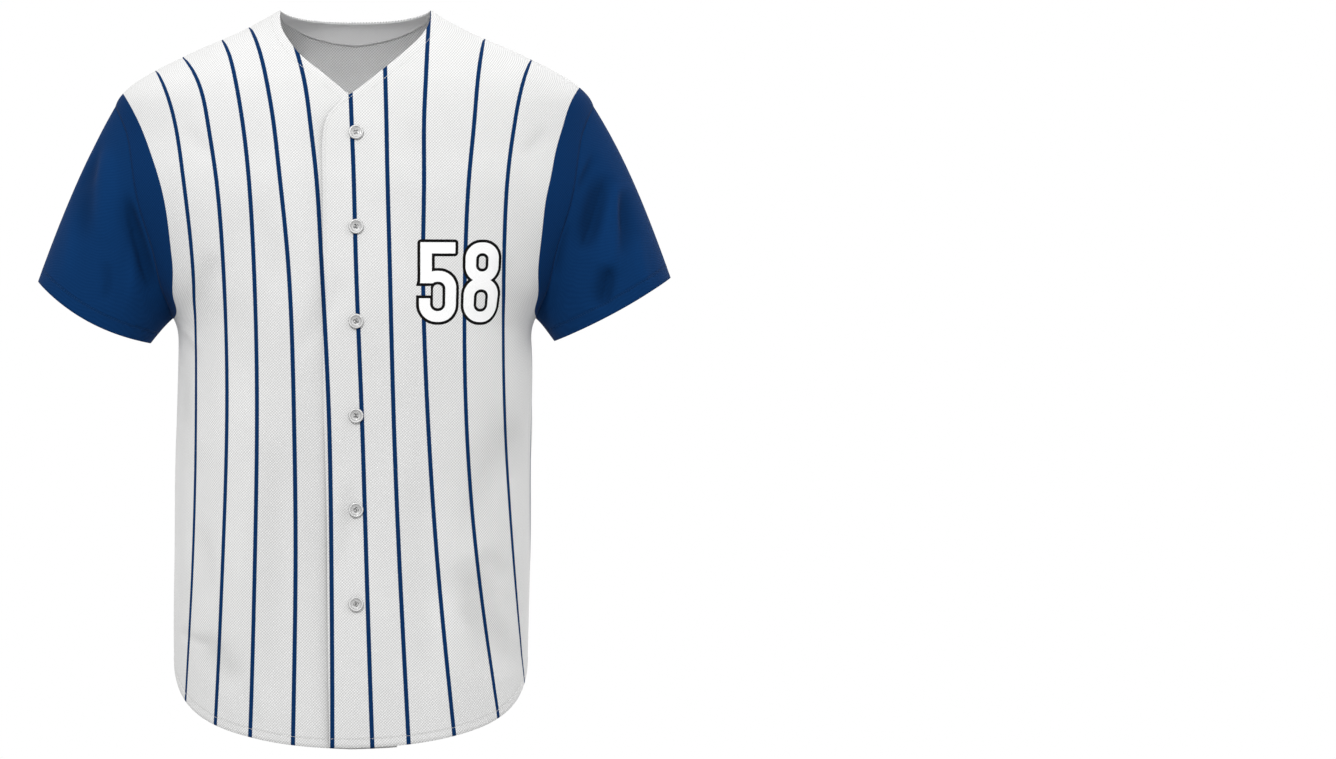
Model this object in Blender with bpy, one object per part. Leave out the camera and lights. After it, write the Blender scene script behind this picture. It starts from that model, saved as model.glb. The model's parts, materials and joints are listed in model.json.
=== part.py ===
"""A short-sleeved baseball jersey with a buttoned front and a shirt-tail hem.

Blender 4.5, metres, +Z up: blender --background --python part.py
The garment is hollow and keeps the shape of an unseen wearer. Its front faces -Y, and +X is the
wearer's left. The origin lies midway between the high points of the two shoulders, where a
wearer holds the garment up. Every piece that is cut and sewn on is an object of its own.
"""
import math

import bmesh
import bpy
import numpy as np
from mathutils import Matrix, Vector

# Every size and table below is in millimetres or degrees. MM turns millimetres into metres.
MM = 0.001

# Cloth and seams
WALL = 1.5
FACING_WALL = 1.0
SEAM_GAP = 0.3
ARMHOLE_GAP = 0.6
LAYER_GAP = 0.9

# Torso sections, measured down from the high point of the shoulder. half_width at the shoulder
# is the shoulder seam, and below the underarm it is the side seam. squareness 2 is an ellipse.
SECTION_COLUMNS = ("drop", "centre", "half_width", "front_depth", "back_depth", "squareness")
SECTIONS = (
    (0, 1.0, 78.0, 34, 34, 2.0),
    (10, 0.0, 94.5, 46, 57, 2.0),
    (20, 0.0, 113.0, 57, 69, 2.0),
    (31, 0.0, 137.0, 69, 78, 2.0),
    (41, 0.0, 161.0, 78, 85, 2.0),
    (52, 0.0, 184.0, 86, 91, 2.0),
    (62, 0.0, 204.0, 92, 96, 2.0),
    (72, 0.0, 221.5, 98, 100, 2.0),
    (83, 0.0, 236.0, 103, 104, 2.0),
    (93, 0.0, 244.5, 107, 108, 2.0),
    (104, 0.0, 248.5, 111, 111, 2.0),
    (128, 0.0, 253.0, 118, 118, 2.0),
    (150, 0.0, 259.0, 123, 123, 2.0),
    (176, 0.0, 264.0, 129, 128, 2.0),
    (206, 0.0, 261.0, 133, 132, 2.0),
    (254, 0.0, 237.0, 138, 134, 2.0),
    (291, 0.0, 211.0, 141, 134, 2.1),
    (319, 0.0, 187.5, 142, 133, 2.25),
    (350, 0.5, 182.5, 141, 130, 2.35),
    (450, -1.0, 183.5, 137, 123, 2.4),
    (550, -2.0, 184.0, 136, 127, 2.4),
    (640, -3.5, 183.5, 140, 137, 2.4),
    (760, -3.5, 181.0, 144, 145, 2.4),
)

# The armhole is an ellipse in drop and angle: it starts and ends on the shoulder and side seams,
# and at its middle it cuts into the front and the back by the bite.
SHOULDER_TIP = 100.0
UNDERARM = 319.0
ARMHOLE_BITE = 32.0

# Shirt-tail hem, given by angle from the centre of the front or the back to the side seam
HEM_COLUMNS = ("angle", "front_drop", "back_drop")
HEM = (
    (0, 756, 759),
    (20, 752, 755),
    (36, 743, 746),
    (53, 727, 730),
    (70, 702, 704),
    (79, 687, 688),
    (85, 680, 680),
    (90, 678, 678),
)

# Free edges of the two fronts, from the high shoulder point along the neck to the hem. The top
# layer ends on the wearer's right of the middle, and the layer under it ends on the left.
EDGE_COLUMNS = ("drop", "x")
TOP_LAYER_EDGE = (
    (0, 79.0),
    (12, 78.0),
    (28, 69.5),
    (43, 56.0),
    (64, 31.5),
    (89, -4.7),
    (95, -12.0),
    (109, -25.0),
    (137, -32.5),
    (170, -33.0),
    (420, -32.0),
    (505, -29.5),
    (600, -27.5),
    (756, -26.0),
)
UNDER_LAYER_EDGE = (
    (0, -77.0),
    (18, -76.0),
    (37, -65.5),
    (50, -55.0),
    (67, -34.5),
    (89, -4.7),
    (100, 10.0),
    (115, 26.0),
    (135, 38.0),
    (165, 43.0),
    (420, 43.0),
    (756, 43.0),
)
PLACKET_TOP = 137.0
LIFT_FULL_X = 50.0
LIFT_END_X = 76.0

# Back of the neck, and the facing sewn inside it
NECK_BACK_DROP = 7.0
FACING_DEPTH_MIDDLE = 38.0
FACING_DEPTH_SIDE = 20.0
FACING_INSET = 0.6
FACING_GAP = 0.8

# Sleeves: the open end is an ellipse across an axis that leans out from the vertical
SLEEVE_LEAN = 28.2
SLEEVE_END_X = 268.8
SLEEVE_END_DROP = 312.0
SLEEVE_END_Y = -5.0
SLEEVE_HALF_WIDTH = 66.0
SLEEVE_HALF_DEPTH = 68.0
SLEEVE_END_BOW = 9.0
# How far the cloth follows the shoulder as it leaves the armhole, under the arm and on top, and
# how far it closes in again towards the open end
LEAVE_PULL_UNDER = 0.35
LEAVE_PULL_OVER = 0.45
ARRIVE_PULL = 0.06
SLEEVE_FOLD_START = 0.15

# Buttons
BUTTON_COUNT = 6
BUTTON_X = 1.5
BUTTON_FIRST_DROP = 131.0
BUTTON_PITCH = 96.0
BUTTON_RADIUS = 7.4
BUTTON_THICKNESS = 3.0
BUTTON_HOLE_RADIUS = 0.8
BUTTON_HOLE_SPREAD = 1.9
BUTTON_HOLES = 4
BUTTON_SEGMENTS = 20
BUTTON_HOLE_SEGMENTS = 8
# Turned profile of a button: radius and height above its back, in parts of its own size
BUTTON_PROFILE = (
    (0.82, 0.00),
    (1.00, 0.28),
    (1.00, 0.62),
    (0.92, 0.94),
    (0.80, 1.00),
    (0.66, 0.86),
    (0.56, 0.60),
)

# Largest folds, as seen from the front or the back: a soft ridge or trough (height below zero)
# along a line from one point to another, with its half width.
FOLD_COLUMNS = ("face", "x_1", "drop_1", "x_2", "drop_2", "width", "height")
FOLDS = (
    ("front", -52, 330, -50, 735, 15, -2.5),
    ("front", -118, 360, -132, 640, 22, 3.0),
    ("front", -86, 430, -96, 720, 20, -3.0),
    ("front", -172, 322, -140, 250, 13, -4.0),
    ("front", -160, 640, -118, 700, 14, -3.5),
    ("front", 168, 400, 110, 560, 18, -4.0),
    ("front", 112, 560, 158, 690, 20, -5.0),
    ("front", 90, 590, 104, 735, 16, 3.5),
    ("front", 168, 318, 146, 250, 13, -3.0),
    ("back", 156, 292, 164, 372, 13, -6.0),
    ("back", 128, 330, 160, 440, 12, 4.0),
    ("back", 146, 420, 166, 500, 13, -5.0),
    ("back", 118, 360, 124, 520, 14, 3.5),
    ("back", 144, 556, 168, 640, 12, 5.0),
    ("back", -150, 300, -152, 385, 13, -6.0),
    ("back", -128, 330, -138, 520, 16, 4.0),
    ("back", -118, 505, -164, 650, 20, -6.0),
    ("back", -80, 560, -100, 740, 20, 3.0),
    ("front", -258, 136, -258, 246, 12, 3.5),
    ("front", -272, 140, -280, 250, 12, -3.0),
    ("front", -236, 190, -208, 300, 10, -4.0),
    ("front", 257, 168, 232, 256, 10, -4.5),
    ("front", 268, 176, 261, 276, 10, 4.0),
    ("front", 277, 182, 272, 262, 12, -4.0),
    ("front", 262, 262, 250, 312, 10, -4.0),
    ("back", -250, 190, -222, 300, 12, -4.5),
    ("back", -272, 160, -270, 270, 12, 3.5),
    ("back", 246, 180, 218, 296, 12, -4.5),
    ("back", 270, 150, 268, 260, 12, 3.5),
)
FOLD_SEAM_FADE = 0.30
SLEEVE_SEAM_FADE = 0.60

# Mesh steps
SIDE_STEPS = 14
ARMHOLE_STEPS = 18
PLACKET_STEPS = 19
NECK_STEPS = 13
FRONT_COLUMNS = 14
BACK_RIDGE_COLUMNS = 8
BACK_NECK_COLUMNS = 10
SLEEVE_STEPS = 10
# Points to the curves that these steps are measured along
FINE = 400

WHITE_CLOTH = (0.84, 0.84, 0.83, 1.0)
BLUE_CLOTH = (0.004, 0.037, 0.133, 1.0)
BUTTON_PLASTIC = (0.80, 0.80, 0.79, 1.0)
CLOTH_ROUGHNESS = 0.85
PLASTIC_ROUGHNESS = 0.35
SHARP_ANGLE = 50.0


class Curves:
    """A short table read as smooth curves: the first column is the input, the others the outputs."""

    def __init__(self, columns, rows):
        data = np.array(rows, float)
        self.inputs = data[:, 0]
        self.outputs = dict(zip(columns[1:], data[:, 1:].T))
        self.bends = {name: self.natural_bends(values) for name, values in self.outputs.items()}

    def natural_bends(self, values):
        """Second derivatives of the natural cubic spline through the rows."""
        step = np.diff(self.inputs)
        count = len(values)
        matrix = np.eye(count)
        right = np.zeros(count)
        for row in range(1, count - 1):
            matrix[row, row - 1:row + 2] = (
                step[row - 1],
                2 * (step[row - 1] + step[row]),
                step[row],
            )
            rise = np.diff(values[row - 1:row + 2]) / step[row - 1:row + 1]
            right[row] = 6 * (rise[1] - rise[0])
        return np.linalg.solve(matrix, right)

    def __call__(self, name, at):
        values = self.outputs[name]
        bends = self.bends[name]
        at = np.asarray(at, float)
        left = np.clip(np.searchsorted(self.inputs, at) - 1, 0, len(values) - 2)
        step = self.inputs[left + 1] - self.inputs[left]
        far = (at - self.inputs[left]) / step
        near = 1 - far
        curve = (near**3 - near) * bends[left] + (far**3 - far) * bends[left + 1]
        return near * values[left] + far * values[left + 1] + curve * step**2 / 6


SECTION = Curves(SECTION_COLUMNS, SECTIONS)
HEM_LINE = Curves(HEM_COLUMNS, HEM)
TOP_EDGE = Curves(EDGE_COLUMNS, TOP_LAYER_EDGE)
UNDER_EDGE = Curves(EDGE_COLUMNS, UNDER_LAYER_EDGE)


def smooth_step(value):
    value = np.clip(value, 0, 1)
    return value * value * (3 - 2 * value)


def unit(vectors):
    return vectors / np.linalg.norm(vectors, axis=-1, keepdims=True)


def torso(face, angle, drop):
    """A point of the torso's outer surface: angle from the middle of that face towards +X."""
    turn = np.radians(angle)
    power = SECTION("squareness", drop)
    sine = np.sin(turn)
    cosine = np.cos(turn)
    reach = (np.abs(sine) ** power + np.abs(cosine) ** power) ** (-1 / power)
    depth = SECTION(face + "_depth", drop)
    forward = -1 if face == "front" else 1
    x = SECTION("centre", drop) + SECTION("half_width", drop) * sine * reach
    y = forward * (depth * cosine * reach + SEAM_GAP / 2)
    return np.stack([x, y, -np.asarray(drop, float)], axis=-1)


def torso_normal(face, angle, drop):
    """The surface normal, pointing away from the hollow."""
    turn = 0.05
    fall = 0.05
    along = torso(face, angle + turn, drop) - torso(face, angle - turn, drop)
    down = torso(face, angle, drop + fall) - torso(face, angle, drop - fall)
    normal = unit(np.cross(along, down))
    outward = torso(face, angle, drop) * (1, 1, 0) + (0, 0, 1)
    flip = np.sign(np.sum(normal * outward, axis=-1, keepdims=True))
    return normal * flip


def angle_at(x, drop):
    """The angle at which the torso passes x at this drop, from the middle towards +X."""
    power = SECTION("squareness", drop)
    ratio = np.clip((x - SECTION("centre", drop)) / SECTION("half_width", drop), -1, 1)
    rest = (1 - np.abs(ratio) ** power) ** (1 / power)
    return np.degrees(np.arctan2(ratio, rest))


def spaced(face, path, steps):
    """Points of a path of (angle, drop) at equal distances along the torso, ends included."""
    points = torso(face, path[:, 0], path[:, 1])
    length = np.concatenate([[0], np.cumsum(np.linalg.norm(np.diff(points, axis=0), axis=1))])
    stops = np.linspace(0, length[-1], steps + 1)
    return np.stack([np.interp(stops, length, path[:, k]) for k in (0, 1)], axis=1)


def joined(*paths):
    return np.concatenate([paths[0]] + [path[1:] for path in paths[1:]])


def side_and_armhole(face, side):
    """From the hem up the side seam, then along the armhole to the shoulder tip."""
    seam = np.stack([np.full(FINE, 90.0 * side), np.linspace(HEM[-1][1], UNDERARM, FINE)], axis=1)
    turn = np.linspace(math.pi, 0, FINE)
    middle = (SHOULDER_TIP + UNDERARM) / 2
    half = (UNDERARM - SHOULDER_TIP) / 2
    armhole = np.stack(
        [side * (90 - ARMHOLE_BITE * np.sin(turn)), middle - half * np.cos(turn)],
        axis=1,
    )
    return joined(spaced(face, seam, SIDE_STEPS), spaced(face, armhole, ARMHOLE_STEPS))


def free_edge(edge):
    """From the hem up the placket edge, then along the neck to the high shoulder point."""
    hem_drop = float(HEM_LINE("front_drop", 0))
    placket = np.linspace(hem_drop, PLACKET_TOP, FINE)
    neck = PLACKET_TOP * np.linspace(1, 0, FINE) ** 2
    paths = [np.stack([angle_at(edge("x", drops), drops), drops], axis=1) for drops in (placket, neck)]
    return joined(spaced("front", paths[0], PLACKET_STEPS), spaced("front", paths[1], NECK_STEPS))


def hem_path(face, start, end, steps):
    angles = np.linspace(start, end, FINE)
    drops = HEM_LINE(face + "_drop", np.abs(angles))
    return spaced(face, np.stack([angles, drops], axis=1), steps)


def shoulder_path(face, side, steps):
    """Down the shoulder seam, from the high shoulder point to the shoulder tip."""
    drops = np.linspace(0, SHOULDER_TIP, FINE)
    return spaced(face, np.stack([np.full(FINE, 90.0 * side), drops], axis=1), steps)


def back_neck(angle):
    return NECK_BACK_DROP * (1 - np.abs(np.sin(np.radians(angle))) ** 4)


def neck_path(steps):
    angles = np.linspace(-90, 90, FINE)
    return spaced("back", np.stack([angles, back_neck(angles)], axis=1), steps)


def blended(left, right, bottom, top, u, v):
    """A Coons patch: a grid of points that meets its four edges, rows from bottom to top."""
    across = (1 - u) * left[:, None] + u * right[:, None]
    upward = (1 - v) * bottom[None] + v * top[None]
    corners = (1 - v) * ((1 - u) * bottom[0] + u * bottom[-1]) + v * ((1 - u) * top[0] + u * top[-1])
    return across + upward - corners


def seen_patch(face, edges):
    """A patch blended as the panel is seen from its face, for one whose top edge starts at the
    shoulder tips: its rows and columns keep the spacing of the edges that they run towards."""
    left, right, bottom, top = (
        np.stack([torso(face, *edge.T)[:, 0], edge[:, 1]], axis=1) for edge in edges
    )
    low = (bottom[:, 0] - bottom[0, 0]) / (bottom[-1, 0] - bottom[0, 0])
    high = (top[:, 0] - top[0, 0]) / (top[-1, 0] - top[0, 0])
    rise = (right[:, 1] - right[0, 1]) / (right[-1, 1] - right[0, 1])
    v = rise[:, None, None]
    blend = np.linspace(0, 1, len(left))[:, None, None]
    u = (1 - blend) * low[None, :, None] + blend * high[None, :, None]
    seen = blended(left, right, bottom, top, u, v)
    return np.stack([angle_at(seen[..., 0], seen[..., 1]), seen[..., 1]], axis=-1)


def fold_height(face, points):
    """How far the folds of this face push the cloth out, at points seen from the front."""
    spots = np.stack([points[..., 0], -points[..., 2]], axis=-1)
    height = np.zeros(spots.shape[:-1])
    for fold in FOLDS:
        row = dict(zip(FOLD_COLUMNS, fold))
        if row["face"] != face:
            continue
        start = np.array((row["x_1"], row["drop_1"]), float)
        run = np.array((row["x_2"], row["drop_2"])) - start
        along = (spots - start) @ run / (run @ run)
        away = np.linalg.norm(spots - start - along[..., None] * run, axis=-1)
        ends = np.clip(1 - np.abs(2 * along - 1) ** 3, 0, 1) ** 2
        height += row["height"] * ends * np.exp(-((away / row["width"]) ** 2))
    return height


def seam_fade(points, depth):
    """Zero on the side seams and the shoulder seams, one away from them."""
    return smooth_step(np.abs(points[..., 1]) / (depth * FOLD_SEAM_FADE))


def layer_lift(points):
    """The top layer rides on the layer under it, and settles onto the torso beyond it."""
    rise = (LIFT_END_X - points[..., 0]) / (LIFT_END_X - LIFT_FULL_X)
    return (WALL + LAYER_GAP) * smooth_step(rise)


def panel_walls(face, grid, lifted=False):
    """The outer and inner points of a torso panel."""
    base = torso(face, grid[..., 0], grid[..., 1])
    normal = torso_normal(face, grid[..., 0], grid[..., 1])
    height = fold_height(face, base) * seam_fade(base, SECTION(face + "_depth", grid[..., 1]))
    if lifted:
        height = height + layer_lift(base)
    outer = base + normal * height[..., None]
    return outer, outer - normal * WALL


def front_grid(side, edge):
    left = free_edge(edge)
    right = side_and_armhole("front", side)
    bottom = hem_path("front", left[0, 0], right[0, 0], FRONT_COLUMNS)
    top = shoulder_path("front", side, FRONT_COLUMNS)
    u = np.linspace(0, 1, len(bottom))[None, :, None]
    v = np.linspace(0, 1, len(left))[:, None, None]
    return blended(left, right, bottom, top, u, v)


def back_grid():
    left = side_and_armhole("back", -1)
    right = side_and_armhole("back", 1)
    bottom = hem_path("back", -90, 90, 2 * BACK_RIDGE_COLUMNS + BACK_NECK_COLUMNS)
    top = joined(
        shoulder_path("back", -1, BACK_RIDGE_COLUMNS)[::-1],
        neck_path(BACK_NECK_COLUMNS),
        shoulder_path("back", 1, BACK_RIDGE_COLUMNS),
    )
    return seen_patch("back", (left, right, bottom, top))


def armhole_ring(side):
    """The armhole's seam, from the shoulder tip down the front and up the back, and the
    directions that lead from the torso onto the sleeve."""
    loop = []
    normals = []
    for face in ("front", "back"):
        rows = side_and_armhole(face, side)[SIDE_STEPS:]
        seam, _ = panel_walls(face, rows)
        normal = torso_normal(face, rows[:, 0], rows[:, 1])
        order = slice(None, None, -1) if face == "front" else slice(None)
        loop.append(seam[order])
        normals.append(normal[order])
    seam = np.concatenate([loop[0][:-1], loop[1][:-1]])
    normal = np.concatenate([normals[0][:-1], normals[1][:-1]])
    seam[[0, ARMHOLE_STEPS], 1] = 0
    tangent = unit(np.roll(seam, -1, axis=0) - np.roll(seam, 1, axis=0))
    away = unit(np.cross(normal, tangent))
    away *= np.sign(away[0, 0] * side)
    return seam, away


def sleeve_grid(side):
    """Rings of outer points, from the armhole to the open end, and their normals."""
    seam, away = armhole_ring(side)
    start = seam + away * ARMHOLE_GAP
    lean = math.radians(SLEEVE_LEAN)
    axis = np.array((side * math.sin(lean), 0, -math.cos(lean)))
    outward = np.array((side * math.cos(lean), 0, math.sin(lean)))
    forward = np.array((0, -1, 0))
    centre = np.array((side * SLEEVE_END_X, SLEEVE_END_Y, -SLEEVE_END_DROP))
    turn = np.linspace(0, 2 * math.pi, len(seam), endpoint=False)[:, None]
    bow = SLEEVE_END_BOW * np.sin(turn) ** 2
    end = (
        centre
        + outward * SLEEVE_HALF_WIDTH * np.cos(turn)
        + forward * SLEEVE_HALF_DEPTH * np.sin(turn)
        + axis * bow
    )
    reach = np.linalg.norm(end - start, axis=1, keepdims=True)
    pull = LEAVE_PULL_UNDER + LEAVE_PULL_OVER * np.clip(np.cos(turn), 0, 1)
    leave = unit(axis + pull * away) * reach
    arrive = unit(axis - ARRIVE_PULL * outward * np.cos(turn)) * reach
    t = np.linspace(0, 1, SLEEVE_STEPS + 1)[:, None, None]
    rings = (
        (2 * t**3 - 3 * t**2 + 1) * start
        + (t**3 - 2 * t**2 + t) * leave
        + (3 * t**2 - 2 * t**3) * end
        + (t**3 - t**2) * arrive
    )
    normal = ring_normals(rings)
    behind = rings[..., 1] - SLEEVE_END_Y
    fade = smooth_step(np.abs(behind) / (SLEEVE_HALF_DEPTH * SLEEVE_SEAM_FADE))
    fade = fade * smooth_step(t[..., 0] / SLEEVE_FOLD_START)
    height = np.where(behind < 0, fold_height("front", rings), fold_height("back", rings)) * fade
    return rings + normal * height[..., None], normal


def ring_normals(rings):
    """Normals of a closed tube of rings, pointing away from its hollow."""
    around = np.roll(rings, -1, axis=1) - np.roll(rings, 1, axis=1)
    along = np.gradient(rings, axis=0)
    normal = unit(np.cross(around, along))
    middle = rings.mean(axis=1, keepdims=True)
    if np.sum(normal * (rings - middle)) < 0:
        normal = -normal
    return normal


def new_material(name, colour, roughness):
    material = bpy.data.materials.new(name)
    material.use_nodes = True
    shader = material.node_tree.nodes["Principled BSDF"]
    shader.inputs["Base Color"].default_value = colour
    shader.inputs["Roughness"].default_value = roughness
    shader.inputs["Metallic"].default_value = 0.0
    return material


def add_object(name, mesh, material, parent):
    mesh.shade_smooth()
    mesh.set_sharp_from_angle(angle=math.radians(SHARP_ANGLE))
    mesh.materials.append(material)
    obj = bpy.data.objects.new(name, mesh)
    bpy.context.scene.collection.objects.link(obj)
    obj.parent = parent
    return obj


def wall_mesh(name, outer, inner, around=False):
    """A closed cloth wall between two grids of points. around closes each row into a ring."""
    rows, columns = outer.shape[:2]
    mesh = bpy.data.meshes.new(name)
    shape = bmesh.new()
    skins = [
        [[shape.verts.new(Vector(point) * MM) for point in row] for row in grid]
        for grid in (outer, inner)
    ]
    last = columns if around else columns - 1
    for skin in skins:
        for j in range(rows - 1):
            for i in range(last):
                k = (i + 1) % columns
                shape.faces.new((skin[j][i], skin[j][k], skin[j + 1][k], skin[j + 1][i]))
    for j in (0, rows - 1):
        for i in range(last):
            k = (i + 1) % columns
            shape.faces.new((skins[0][j][i], skins[0][j][k], skins[1][j][k], skins[1][j][i]))
    if not around:
        for i in (0, columns - 1):
            for j in range(rows - 1):
                shape.faces.new((skins[0][j][i], skins[0][j + 1][i], skins[1][j + 1][i], skins[1][j][i]))
    bmesh.ops.recalc_face_normals(shape, faces=shape.faces)
    shape.to_mesh(mesh)
    shape.free()
    return mesh


def facing_mesh(name, outer, inner):
    """A band inside the back of the neck, made from the back panel's top rows and moved inward."""
    neck = range(BACK_RIDGE_COLUMNS, BACK_RIDGE_COLUMNS + BACK_NECK_COLUMNS + 1)
    base = []
    inward = []
    for place, column in enumerate(neck):
        from_middle = abs(2 * place / BACK_NECK_COLUMNS - 1)
        depth = FACING_DEPTH_MIDDLE + (FACING_DEPTH_SIDE - FACING_DEPTH_MIDDLE) * from_middle
        line = inner[::-1, column]
        length = np.concatenate([[0], np.cumsum(np.linalg.norm(np.diff(line, axis=0), axis=1))])
        stops = (FACING_INSET, depth / 2, depth)
        turned = unit(inner - outer)[::-1, column]
        base.append([[np.interp(stop, length, line[:, k]) for k in range(3)] for stop in stops])
        inward.append([[np.interp(stop, length, turned[:, k]) for k in range(3)] for stop in stops])
    base = np.array(base)
    inward = unit(np.array(inward))
    face = base + inward * FACING_GAP
    return wall_mesh(name, face, face + inward * FACING_WALL)


def button_mesh():
    """A turned button with a raised rim, a dished middle and four holes, its back at height zero."""
    profile = [(radius * BUTTON_RADIUS, height * BUTTON_THICKNESS) for radius, height in BUTTON_PROFILE]
    shape = bmesh.new()
    rings = []
    for radius, height in profile:
        turns = [2 * math.pi * k / BUTTON_SEGMENTS for k in range(BUTTON_SEGMENTS)]
        spots = [Vector((radius * math.cos(turn), radius * math.sin(turn), height)) * MM for turn in turns]
        rings.append([shape.verts.new(spot) for spot in spots])
    for low, high in zip(rings, rings[1:]):
        for k in range(BUTTON_SEGMENTS):
            following = (k + 1) % BUTTON_SEGMENTS
            shape.faces.new((low[k], low[following], high[following], high[k]))
    shape.faces.new(rings[-1])
    shape.faces.new(rings[0])
    bmesh.ops.recalc_face_normals(shape, faces=shape.faces)
    blank = bpy.data.meshes.new("button_blank")
    shape.to_mesh(blank)
    shape.free()
    drill = bmesh.new()
    for k in range(BUTTON_HOLES):
        turn = math.pi / BUTTON_HOLES + 2 * math.pi * k / BUTTON_HOLES
        spot = Vector((math.cos(turn), math.sin(turn), 0)) * BUTTON_HOLE_SPREAD * MM
        bmesh.ops.create_cone(
            drill,
            cap_ends=True,
            segments=BUTTON_HOLE_SEGMENTS,
            radius1=BUTTON_HOLE_RADIUS * MM,
            radius2=BUTTON_HOLE_RADIUS * MM,
            depth=4 * BUTTON_THICKNESS * MM,
            matrix=Matrix.Translation(spot),
        )
    holes = bpy.data.meshes.new("button_holes")
    drill.to_mesh(holes)
    drill.free()
    helpers = [bpy.data.objects.new(mesh.name, mesh) for mesh in (blank, holes)]
    for helper in helpers:
        helper.hide_render = True
        helper.display_type = "WIRE"
        bpy.context.scene.collection.objects.link(helper)
    cut = helpers[0].modifiers.new("holes", "BOOLEAN")
    cut.operation = "DIFFERENCE"
    cut.object = helpers[1]
    bpy.context.view_layer.update()
    graph = bpy.context.evaluated_depsgraph_get()
    mesh = bpy.data.meshes.new_from_object(helpers[0].evaluated_get(graph))
    mesh.name = "button"
    for helper in helpers:
        bpy.data.objects.remove(helper)
    return mesh


def add_buttons(material, parent):
    mesh = button_mesh()
    mesh.shade_smooth()
    mesh.set_sharp_from_angle(angle=math.radians(SHARP_ANGLE))
    mesh.materials.append(material)
    for number in range(BUTTON_COUNT):
        drop = BUTTON_FIRST_DROP + number * BUTTON_PITCH
        angle = angle_at(BUTTON_X, drop)
        grid = np.array([[(float(angle), drop)]])
        outer, _ = panel_walls("front", grid, lifted=True)
        normal = torso_normal("front", grid[..., 0], grid[..., 1])[0, 0]
        button = bpy.data.objects.new(f"button_{number + 1}", mesh)
        bpy.context.scene.collection.objects.link(button)
        button.parent = parent
        button.location = Vector(outer[0, 0] + normal * SEAM_GAP) * MM
        button.rotation_mode = "QUATERNION"
        button.rotation_quaternion = Vector(normal).to_track_quat("Z", "Y")


def build():
    for obj in list(bpy.data.objects):
        bpy.data.objects.remove(obj)
    jersey = bpy.data.objects.new("jersey", None)
    bpy.context.scene.collection.objects.link(jersey)

    panels = {
        "front_left": panel_walls("front", front_grid(1, TOP_EDGE), lifted=True),
        "front_right": panel_walls("front", front_grid(-1, UNDER_EDGE)),
        "back": panel_walls("back", back_grid()),
    }
    for name, (outer, inner) in panels.items():
        white = new_material(name, WHITE_CLOTH, CLOTH_ROUGHNESS)
        add_object(name, wall_mesh(name, outer, inner), white, jersey)

    for name, side in (("sleeve_left", 1), ("sleeve_right", -1)):
        rings, normal = sleeve_grid(side)
        mesh = wall_mesh(name, rings, rings - normal * WALL, around=True)
        add_object(name, mesh, new_material(name, BLUE_CLOTH, CLOTH_ROUGHNESS), jersey)

    facing = facing_mesh("neck_facing", *panels["back"])
    white = new_material("neck_facing", WHITE_CLOTH, CLOTH_ROUGHNESS)
    add_object("neck_facing", facing, white, jersey)
    add_buttons(new_material("button_plastic", BUTTON_PLASTIC, PLASTIC_ROUGHNESS), jersey)


build()
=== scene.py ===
# %% [markdown]
# # A buttoned baseball jersey
# This file dresses one garment: a short-sleeved jersey with a buttoned front, striped body panels,
# plain dark sleeves and a shirt-tail hem. It stands in the hollow shape of an unseen wearer. The
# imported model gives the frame: what is made here lies on that model's solids and takes their place
# in the picture. The model's axes are kept, so the front faces -Y and +X is the wearer's left.

import json
import math

import bmesh
import bpy
import numpy as np
from mathutils import Matrix, Vector

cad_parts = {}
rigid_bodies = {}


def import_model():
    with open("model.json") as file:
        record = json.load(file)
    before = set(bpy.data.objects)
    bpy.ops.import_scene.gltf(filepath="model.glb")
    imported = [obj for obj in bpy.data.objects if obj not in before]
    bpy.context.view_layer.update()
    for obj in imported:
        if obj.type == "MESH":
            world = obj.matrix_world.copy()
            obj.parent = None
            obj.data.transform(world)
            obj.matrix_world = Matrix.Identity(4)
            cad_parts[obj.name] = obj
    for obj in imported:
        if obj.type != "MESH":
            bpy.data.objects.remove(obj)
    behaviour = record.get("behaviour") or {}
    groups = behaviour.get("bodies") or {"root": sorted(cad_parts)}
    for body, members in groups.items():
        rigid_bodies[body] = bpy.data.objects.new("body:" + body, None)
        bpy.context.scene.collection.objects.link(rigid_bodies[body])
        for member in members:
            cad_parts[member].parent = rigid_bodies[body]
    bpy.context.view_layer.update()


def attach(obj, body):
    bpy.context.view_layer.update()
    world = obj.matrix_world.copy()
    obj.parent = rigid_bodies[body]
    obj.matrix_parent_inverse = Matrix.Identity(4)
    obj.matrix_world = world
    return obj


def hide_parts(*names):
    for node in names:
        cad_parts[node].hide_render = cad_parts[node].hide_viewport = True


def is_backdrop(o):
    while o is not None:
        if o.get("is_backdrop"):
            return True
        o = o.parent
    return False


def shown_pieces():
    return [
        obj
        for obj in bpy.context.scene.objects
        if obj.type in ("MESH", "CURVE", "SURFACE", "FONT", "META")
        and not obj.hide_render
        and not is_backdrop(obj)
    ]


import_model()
MM = 0.001

# %% [markdown]
# ## Camera
# A garment is photographed from far away, so that its nearer parts aren't enlarged. Eight metres
# and a long lens give that flat view. The jersey stands in the left half of a wide picture, so the
# lens is shifted sideways: turning the camera would show more of one side of the body.

# %% Place the camera
PICTURE_SIZE = (1336, 759)
PICTURE_SCALE = 1.035
CAMERA_DISTANCE = 8000.0
BODY_MIDDLE_PIXEL = 354.5
NECK_TOP_PIXEL = 10.0
EYE_DROP = (PICTURE_SIZE[1] / 2 - NECK_TOP_PIXEL) * PICTURE_SCALE


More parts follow.
